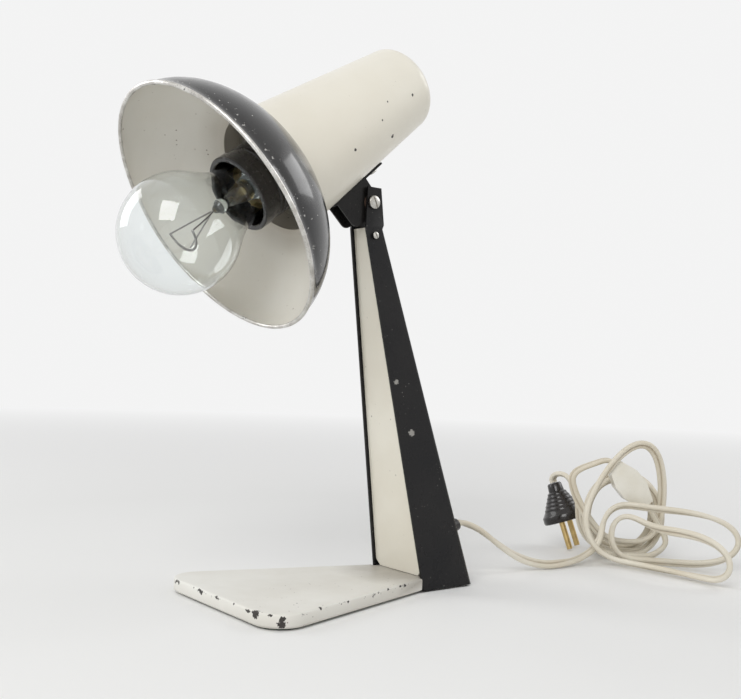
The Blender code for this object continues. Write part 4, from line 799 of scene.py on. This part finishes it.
def build_bulb():
    """The clear glass and its stem."""
    outer = glass_outline(0.0)
    inner = glass_outline(bulb_glass_wall)
    mesh = lathe("bulb_envelope", outer + list(reversed(inner)), shade_place)
    finish_piece("bulb_envelope", mesh, (bulb_clear,), "head", ("bulb_glass",),
                 60.0)
    middle = (stem_front + bulb_cap_front) / 2
    mesh = lathe("stem_glass_piece", [
        (0, stem_front), (stem_waist * 0.7, stem_front - stem_waist * 0.3),
        (stem_waist, stem_front - stem_waist), (stem_radius, stem_front - stem_radius),
        (stem_radius * 0.9, stem_front - 1.5 * stem_radius),
        (stem_waist, stem_front - 2 * stem_radius), (stem_waist * 1.1, middle + stem_radius),
        (stem_radius, middle), (stem_flare * 0.6, glass_end + stem_radius),
        (stem_flare, glass_end + seat_gap), (0, glass_end + seat_gap),
    ], shade_place, small_steps, closed=False)
    finish_piece("stem_glass_piece", mesh, (stem_glass,), "head", ("bulb_stem",),
                 60.0)


# ---- base plate ----

def fillet(before, corner, after, radius):
    """Points of an arc that rounds a corner of an outline."""
    corner = Vector(corner)
    first = (Vector(before) - corner).normalized()
    second = (Vector(after) - corner).normalized()
    half = first.angle(second) / 2
    centre = corner + (first + second).normalized() * (radius / sin(half))
    start = corner + first * (radius / tan(half)) - centre
    end = corner + second * (radius / tan(half)) - centre
    sweep = pi - 2 * half
    points = []
    for step in range(arc_steps + 1):
        share = step / arc_steps
        blend = start * sin((1 - share) * sweep) + end * sin(share * sweep)
        points.append(tuple(centre + blend / sin(sweep)))
    return points


def plate_outline(inset):
    """The base plate's outline with its tongue, drawn in by an inset."""
    front = -plate_length + inset
    side_inset = inset * sqrt(1 + plate_slope * plate_slope)
    corner = (plate_half_rear - plate_slope * front - side_inset, front)
    rear_corner = (plate_half_rear - plate_slope * plate_rear - side_inset, plate_rear - inset)
    rounded = fillet(rear_corner, corner, (0, front), plate_corner_radius - inset)
    tongue = tongue_half_width - inset
    side = [(tongue, tongue_length - inset), (tongue, plate_rear - inset), rear_corner] + rounded
    return side + [(-x, y) for x, y in reversed(side)]


def build_plate():
    """The enamelled plate with rounded edges, its tongue, the marks of wear and a darker tone
    towards the column.
    """
    levels = [(plate_round, plate_bottom), (0.0, plate_bottom + plate_round)]
    for step in range(plate_round_steps + 1):
        angle = pi / 2 * step / plate_round_steps
        levels.append((plate_round * (1 - cos(angle)),
                       plate_top - plate_round * (1 - sin(angle))))
    levels += [(plate_round + plate_wear_width, plate_top), (plate_inner_inset, plate_top)]
    work = bmesh.new()
    rings = []
    for inset, height in levels:
        rings.append([work.verts.new((x, y, height)) for x, y in plate_outline(inset)])
    stitch(work, rings)
    work.faces.new(rings[-1])
    work.faces.new(list(reversed(rings[0])))
    bmesh.ops.triangulate(work, faces=[face for face in work.faces if len(face.verts) > 4])
    bmesh.ops.subdivide_edges(work, edges=[edge for edge in work.edges
                                           if edge.calc_length() > plate_cell], cuts=3)
    bmesh.ops.triangulate(work, faces=work.faces)
    bmesh.ops.recalc_face_normals(work, faces=work.faces)
    mesh = mesh_of(work, "plate_shell")
    for side in (1, -1):
        place = Matrix.Translation((side * foot_hole[0], foot_hole[1], 0))
        mesh = cut(mesh, [lathe("plate_hole", foot_hole_profile, place, small_steps,
                                closed=False)])
    wear, darkening = [], []
    for vert in mesh.vertices:
        x, y, z = vert.co
        edge = max(0.0, 1.0 - plate_edge_distance(x, y) / (plate_round + plate_wear_width))
        side = plate_side_wear if z < plate_top - plate_round else 1.0
        wear.append(edge * side if z > plate_top - 2 * plate_round else plate_low_wear)
        # On top the plate is laid darker towards the column's foot; its sides and underside are a
        # little darker all over.
        rear = max(0.0, 1.0 + (y - plate_rear) / plate_darkening_reach)
        darkening.append(rear if z > plate_top - plate_round else plate_side_darkening)
    attribute(mesh, "wear", wear)
    attribute(mesh, "darkening", darkening)
    finish_piece("plate_shell", mesh, (plate_white,), "stand", ("base_plate",))


def plate_edge_distance(x, y):
    """How far a point on the plate is from its front and sides."""
    stretch = sqrt(1 + plate_slope * plate_slope)
    side = (plate_half_rear - plate_slope * y - abs(x)) / stretch
    ends = y + plate_length
    turn = -plate_slope / stretch
    past_side = plate_corner_radius - side
    past_front = plate_corner_radius - ends
    if past_side > past_front * turn and past_front > past_side * turn:
        apart = past_side ** 2 + past_front ** 2 - 2 * past_side * past_front * turn
        return plate_corner_radius - sqrt(apart / (1 - turn ** 2))
    return max(0.0, min(side, ends))


# ---- screws ----

def build_screw(name, sizes, place, replaced):
    """A slotted screw with a domed head; local Z runs out of the head."""
    head, height, shank, length = sizes
    profile = [(0, height)]
    for step in range(1, arc_steps + 1):
        angle = pi / 2 * step / arc_steps
        rise = 1 - dome_share + dome_share * cos(angle)
        profile.append((head * sin(angle), height * rise))
    profile += [(head, height * 0.08), (head * 0.97, 0), (shank, 0), (shank, -length),
                (0, -length)]
    mesh = lathe(name, profile, place, small_steps, closed=False)
    work = bmesh.new()
    bmesh.ops.create_cube(work, size=1.0)
    size = (head * 3, slot_width, 2 * slot_depth)
    bmesh.ops.transform(work, matrix=place @ Matrix.Translation((0, 0, height))
                        @ Matrix.Rotation(slot_turn, 4, "Z")
                        @ Matrix.Diagonal((*size, 1.0)), verts=work.verts)
    mesh = cut(mesh, [mesh_of(work, "slot_tool")])
    finish_piece(name, mesh, (screw_steel,), "stand", replaced, 40.0)


def build_screws():
    """The pivot screw and the panel screw."""
    turn = Matrix.Rotation(radians(90), 4, "Y")
    place = Matrix.Translation((ear_half_width + seat_gap, pivot[1], pivot[2])) @ turn
    build_screw("pivot_screw_fine", pivot_screw, place, ("pivot_screw",))
    place = Matrix.Translation((panel_half_width + 2 * seat_gap, *panel_screw_place)) @ turn
    build_screw("panel_screw_fine", panel_screw, place, ("panel_screw",))


# ---- folded and moulded pieces with softened edges ----

softened = (
    ("column", 0.0003, column_black, "stand", "black_paint"),
    ("front_panel", 0.0003, panel_cream, "stand", "cream_paint"),
    ("head_bracket", 0.00025, bracket_black, "head", "black_paint"),
)
softened_switch = (
    ("switch_base", 0.0006, switch_white, "stand", "cord_plastic"),
    ("switch_cover", 0.00045, switch_white, "stand", "cord_plastic"),
)


def soften(name, width, paint, body, slot):
    """A solid's form with its sharp edges rounded, in place of that solid."""
    work = bmesh.new()
    work.from_mesh(frame["nodes"][name].data)
    bmesh.ops.remove_doubles(work, verts=work.verts, dist=weld_reach)
    bmesh.ops.dissolve_limit(work, angle_limit=flat_angle, verts=work.verts, edges=work.edges)
    mesh = mesh_of(work, name + "_form")
    mesh.materials.clear()
    made = finish_piece(name + "_form", mesh, (paint,), body, (name,), 30.0)
    bevel = made.modifiers.new("soft_edges", "BEVEL")
    bevel.width = width
    bevel.segments = 2
    bevel.limit_method = "ANGLE"
    bevel.angle_limit = sharp_angle
    bevel.harden_normals = True
    return made


# ---- cord ----

bundle_middle = Vector((*bundle_place, 0))
bundle_right = Vector((cos(bundle_turn), sin(bundle_turn), 0))
bundle_ahead = Vector((sin(bundle_turn), -cos(bundle_turn), 0))


def on_bundle(right, height, ahead):
    """A place in the bundle's own directions: to its right, above the table, and ahead."""
    return bundle_middle + right * bundle_right + ahead * bundle_ahead + Vector((0, 0, height))


def eased(turns, values, at):
    """Values at even turns, without overshoot between the keys."""
    turns = np.array(turns, float)
    values = np.array(values, float)
    steps = np.diff(turns)
    slopes = np.diff(values) / steps
    tangents = np.zeros(len(values))
    for index in range(1, len(values) - 1):
        before, after = slopes[index - 1], slopes[index]
        if before * after > 0:
            tangents[index] = 2 * before * after / (before + after)
    tangents[0] = slopes[0]
    tangents[-1] = slopes[-1]
    found = np.clip(np.searchsorted(turns, at, side="right") - 1, 0, len(steps) - 1)
    part_way = (at - turns[found]) / steps[found]
    square = part_way ** 2
    cube = part_way ** 3
    return ((2 * cube - 3 * square + 1) * values[found]
            + (cube - 2 * square + part_way) * steps[found] * tangents[found]
            + (3 * square - 2 * cube) * values[found + 1]
            + (cube - square) * steps[found] * tangents[found + 1])


def winding(start, turns, places_ahead, radii, petals=()):
    """The turns of one stretch of cord about the middle of the bundle."""
    at = np.linspace(0, turns[-1], round(points_per_turn * turns[-1]) + 1)
    ahead = eased(turns, places_ahead, at)
    radius = eased(turns, radii, at)
    angle = start - 2 * pi * at
    right = radius * np.cos(angle)
    height = bundle_height + bundle_tall_share * radius * np.sin(angle)
    for (middle, reach), pull in petals:
        drawn = np.cos(pi / 2 * np.clip(np.abs(at - middle) / reach, 0, 1)) ** 2
        right = right + drawn * pull[0]
        height = height + drawn * pull[1]
        ahead = ahead + drawn * pull[2]
    above = height - cord_lowest
    height = cord_lowest + (above + np.sqrt(above ** 2 + 4 * floor_ease ** 2)) / 2
    places = np.stack([right, height, ahead], axis=1).tolist()
    return [tuple(on_bundle(*place)) for place in places]


def smooth_route(places, count):
    """Points at even steps along a Catmull-Rom curve through the given places."""
    places = [np.array(place, float) for place in places]
    ends = [2 * places[0] - places[1]] + places + [2 * places[-1] - places[-2]]
    fine = []
    for index in range(1, len(ends) - 2):
        before, start, end, after = ends[index - 1:index + 3]
        for share in np.linspace(0, 1, route_steps, endpoint=False):
            fine.append(0.5 * (
                2 * start + (end - before) * share
                + (2 * before - 5 * start + 4 * end - after) * share ** 2
                + (3 * start - before - 3 * end + after) * share ** 3
            ))
    fine.append(places[-1])
    fine = np.array(fine)
    along = np.concatenate([[0], np.cumsum(np.linalg.norm(np.diff(fine, axis=0), axis=1))])
    at = np.linspace(0, along[-1], count)
    return np.stack([np.interp(at, along, fine[:, axis]) for axis in range(3)], axis=1)


def twin_section():
    """The flat twin cord's outline: two round cores side by side, with how deep each point is."""
    lobe = cord_thickness / 2
    apart = cord_width / 2 - lobe
    limit = acos(-apart / lobe)
    outline = []
    for side in (1, -1):
        for step in range(arc_steps):
            angle = -limit + 2 * limit * step / (arc_steps - 1)
            x = side * (apart + lobe * cos(angle))
            outline.append((x, side * lobe * sin(angle)))
    return [(x, y, max(0.0, 1.0 - abs(x) / (apart * groove_width_share))) for x, y in outline]


def ribbon(name, places):
    """A flat twin cord along a route; it lies flat across its bends."""
    length = np.linalg.norm(np.diff(np.array(places), axis=0), axis=1).sum()
    path = smooth_route(places, int(length / cord_step) + 1)
    for _ in range(cord_smoothing):
        path[2:-2] = path[1:-3] / 4 + path[2:-2] / 2 + path[3:-1] / 4
    tangent = np.gradient(path, axis=0)
    tangent /= np.linalg.norm(tangent, axis=1)[:, None]
    bend = np.cross(tangent, np.gradient(tangent, axis=0) / cord_step)
    wide = np.cross(tangent[0], (0, 0, 1))
    wide = wide / np.linalg.norm(wide)
    widths = []
    for index in range(len(path)):
        wide = wide - tangent[index] * np.dot(wide, tangent[index])
        amount = np.linalg.norm(bend[index])
        if amount > 0:
            target = bend[index] / amount
            target = target if np.dot(target, wide) >= 0 else -target
            wide = wide + target * min(cord_turn_most, amount / cord_turn_bend)
        wide = wide / np.linalg.norm(wide)
        widths.append(wide)
    section = twin_section()
    work = bmesh.new()
    rings, depth = [], []
    for index, (place, along, across) in enumerate(zip(path, tangent, widths)):
        thin = np.cross(along, across)
        ends = min(1.0, min(index, len(path) - 1 - index) * cord_step / cord_twist_ease)
        twist = ends * cord_twist * sin(2 * pi * index * cord_step / cord_twist_length)
        across, thin = (across * cos(twist) + thin * sin(twist),
                        thin * cos(twist) - across * sin(twist))
        rings.append([work.verts.new(place + across * x + thin * y) for x, y, groove in section])
        depth += [groove for x, y, groove in section]
    stitch(work, rings)
    work.faces.new(list(reversed(rings[0])))
    work.faces.new(rings[-1])
    bmesh.ops.recalc_face_normals(work, faces=work.faces)
    mesh = mesh_of(work, name)
    # The darkening attribute lays painted shade deep in the groove between the cores.
    attribute(mesh, "darkening", depth)
    return mesh, path, length


switch_upper = on_bundle(*switch_start)
switch_lower = on_bundle(*switch_end)
switch_along = (switch_lower - switch_upper).normalized()
plug_start = on_bundle(*plug_place)
plug_along = (on_bundle(*plug_lean) - on_bundle(0, 0, 0)).normalized()
web_out = Vector((0, cos(web_lean), sin(web_lean)))
bush_tip = Vector((0, exit_rear, exit_height)) + web_out * bush_tail


def frame_from(origin, along, facing):
    """A placement whose X runs along one direction and whose Z faces another."""
    across = facing.cross(along).normalized()
    up = along.cross(across).normalized()
    return Matrix.Translation(origin) @ Matrix((along, across, up)).transposed().to_4x4()


def build_cords():
    """The cord from the bush to the switch, and from the switch to the plug."""
    turns = winding(loops_start, loops_turn_shares, loops_ahead, loops_radius,
                    list(zip(petal_turn_shares, petal_pulls)))
    first = Vector(turns[0])
    join = first + on_bundle(*loops_join) - on_bundle(0, 0, 0)
    bend = first + on_bundle(*loops_bend) - on_bundle(0, 0, 0)
    end_reach = 2 * cord_radius
    start = bush_tip + web_out * seat_gap
    lead = [tuple(start), tuple(start + web_out * end_reach)] + list(lead_places)
    closing = turns[-tail_points // 2:-1] + [tuple(switch_upper - switch_along * end_reach)]
    loops = [tuple(join), tuple(bend)] + turns[:-tail_points // 2]
    loops += [tuple(place) for place in smooth_route(closing, tail_points)]
    loops.append(tuple(switch_upper - switch_along * seat_gap))
    mesh, path, length = ribbon("cord_to_switch", lead + loops)
    upper = finish_piece("cord_to_switch", mesh, (cord_cream,), "stand",
                         ("cord_lead", "cord_loops"), 60.0)
    shells = [soften(*row) for row in softened_switch]
    turns = winding(wraps_start, wraps_turn_shares, wraps_ahead, wraps_radius)
    wraps = [tuple(switch_lower + switch_along * seat_gap),
             tuple(switch_lower + switch_along * end_reach)] + turns[1:-1]
    closing = [turns[-1]] + [tuple(on_bundle(*place)) for place in tail_places]
    closing.append(tuple(plug_start - plug_along * end_reach))
    wraps += [tuple(place) for place in smooth_route(closing, tail_points)]
    wraps.append(tuple(plug_start - plug_along * seat_gap))
    mesh, path, length = ribbon("cord_to_plug", wraps)
    lower = finish_piece("cord_to_plug", mesh, (cord_cream,), "stand",
                         ("cord_wraps",), 60.0)
    plug = build_plug()


def build_plug():
    """The plug's glossy body with a ribbed grip."""
    place = frame_from(plug_start, plug_along.cross(Vector((0, 0, 1))).normalized(), plug_along)
    profile = [(0, plug_length), (plug_radius - 1.5 * plug_edge, plug_length),
               (plug_radius - plug_edge / 2, plug_length - plug_edge / 2),
               (plug_radius, plug_length - 1.75 * plug_edge),
               (plug_radius, plug_length - plug_rim + 1.25 * plug_edge),
               (plug_radius - plug_edge, plug_length - plug_rim)]
    start = plug_length - 1.4 * plug_rim
    for step in range(plug_rib_count):
        share = step / plug_rib_count
        end = plug_neck_radius + 1.25 * plug_edge
        radius = plug_grip_radius + (end - plug_grip_radius) * share
        at = start + (plug_neck_length - start) * share
        floor = radius - plug_rib_depth
        profile += [(radius, at), (floor, at - plug_rib_floor), (floor, at - plug_rib_end)]
    profile += [(plug_neck_radius + plug_collar, plug_neck_length), (plug_neck_radius, plug_edge),
                (plug_neck_radius - plug_edge, 0), (0, 0)]
    mesh = lathe("plug_shell", profile, place, plug_steps, closed=False)
    tools = []
    for side in (-1, 1):
        spot = place @ Matrix.Translation((side * plug_pin_spread / 2, 0, 0))
        low = plug_length - plug_pin_seat
        high = plug_length + plug_hole_reach
        hole = [(0, low), (plug_hole_radius, low), (plug_hole_radius, high), (0, high)]
        tools.append(lathe("pin_hole", hole, spot, small_steps, closed=False))
    return finish_piece("plug_shell", cut(mesh, tools), (black_moulding,), "stand",
                        ("plug_body",), 40.0)


# ---- floor and light ----

floor_radius = 6.0
floor_colour = (0.86, 0.86, 0.85)
floor_dim = 0.985
floor_roughness = 0.7
floor_specular = 0.2
fade_start = 0.4
fade_end = 2.0
fade_power = 0.7
backdrop_level = 0.9
world_level = 0.48
lit_place = Vector((0.0, 0.0, 0.15))
lamps = (
    ("key_light", (0.75, -1.05, 0.95), (0.7, 0.9), 11.5),
    ("fill_light", (-0.95, -0.75, 0.7), (0.6, 0.8), 4.0),
    ("rim_light", (0.3, 1.1, 0.9), (0.8, 0.5), 3.5),
)


def pale_rays(tree):
    """One where a ray comes from the camera, a reflection or through glass."""
    path = node(tree, "ShaderNodeLightPath")
    seen = sum_of(tree, "MAXIMUM", path.outputs["Is Camera Ray"], path.outputs["Is Glossy Ray"])
    return sum_of(tree, "MAXIMUM", seen, path.outputs["Is Transmission Ray"])


def build_floor():
    """A wide pale floor that fades into the background far from the lamp."""
    work = bmesh.new()
    bmesh.ops.create_circle(work, cap_ends=True, radius=floor_radius, segments=96)
    mesh = mesh_of(work, "floor")
    paint = bpy.data.materials.new("floor_paint")
    paint.use_nodes = True
    tree = paint.node_tree
    shader = tree.nodes["Principled BSDF"]
    place = node(tree, "ShaderNodeTexCoord").outputs["Object"]
    tone = noise(tree, place, 3.0)
    dim = tuple(value * floor_dim for value in floor_colour)
    tree.links.new(mixed(tree, tone, floor_colour, dim), shader.inputs["Base Color"])
    shader.inputs["Roughness"].default_value = floor_roughness
    shader.inputs["Specular IOR Level"].default_value = floor_specular
    far = node(tree, "ShaderNodeVectorMath", operation="LENGTH")
    tree.links.new(place, far.inputs[0])
    fade = ramp(tree, far.outputs["Value"], fade_start, fade_end)
    fade = sum_of(tree, "POWER", fade, fade_power)
    glow = node(tree, "ShaderNodeEmission", Strength=backdrop_level)
    blend = node(tree, "ShaderNodeMixShader")
    tree.links.new(sum_of(tree, "MULTIPLY", fade, pale_rays(tree)), blend.inputs[0])
    tree.links.new(shader.outputs[0], blend.inputs[1])
    tree.links.new(glow.outputs[0], blend.inputs[2])
    tree.links.new(blend.outputs[0], tree.nodes["Material Output"].inputs["Surface"])
    mesh.materials.append(paint)
    placed("floor", mesh)


def build_light(name, place, size, power):
    """A soft area light that faces the lamp."""
    data = bpy.data.lights.new(name, "AREA")
    data.shape = "RECTANGLE"
    data.size = size[0]
    data.size_y = size[1]
    data.energy = power
    made = placed(name, data)
    made.location = place
    made.rotation_euler = (lit_place - Vector(place)).to_track_quat("-Z", "Y").to_euler()


def build_world():
    """Plain pale light from all round."""
    world = bpy.data.worlds.new("studio")
    world.use_nodes = True
    tree = world.node_tree
    back = tree.nodes["Background"]
    back.inputs["Color"].default_value = (1.0, 1.0, 1.0, 1.0)
    level = ramp(tree, pale_rays(tree), 0.0, 1.0, world_level, backdrop_level)
    tree.links.new(level, back.inputs["Strength"])
    bpy.context.scene.world = world


build_cords()
build_cup()
build_bowl()
build_skirt()
build_bulb()
build_filament()
build_plate()
build_screws()
for row in softened:
    soften(*row)
build_floor()
for lamp in lamps:
    build_light(*lamp)
build_world()
bpy.context.scene.view_settings.view_transform = "Standard"
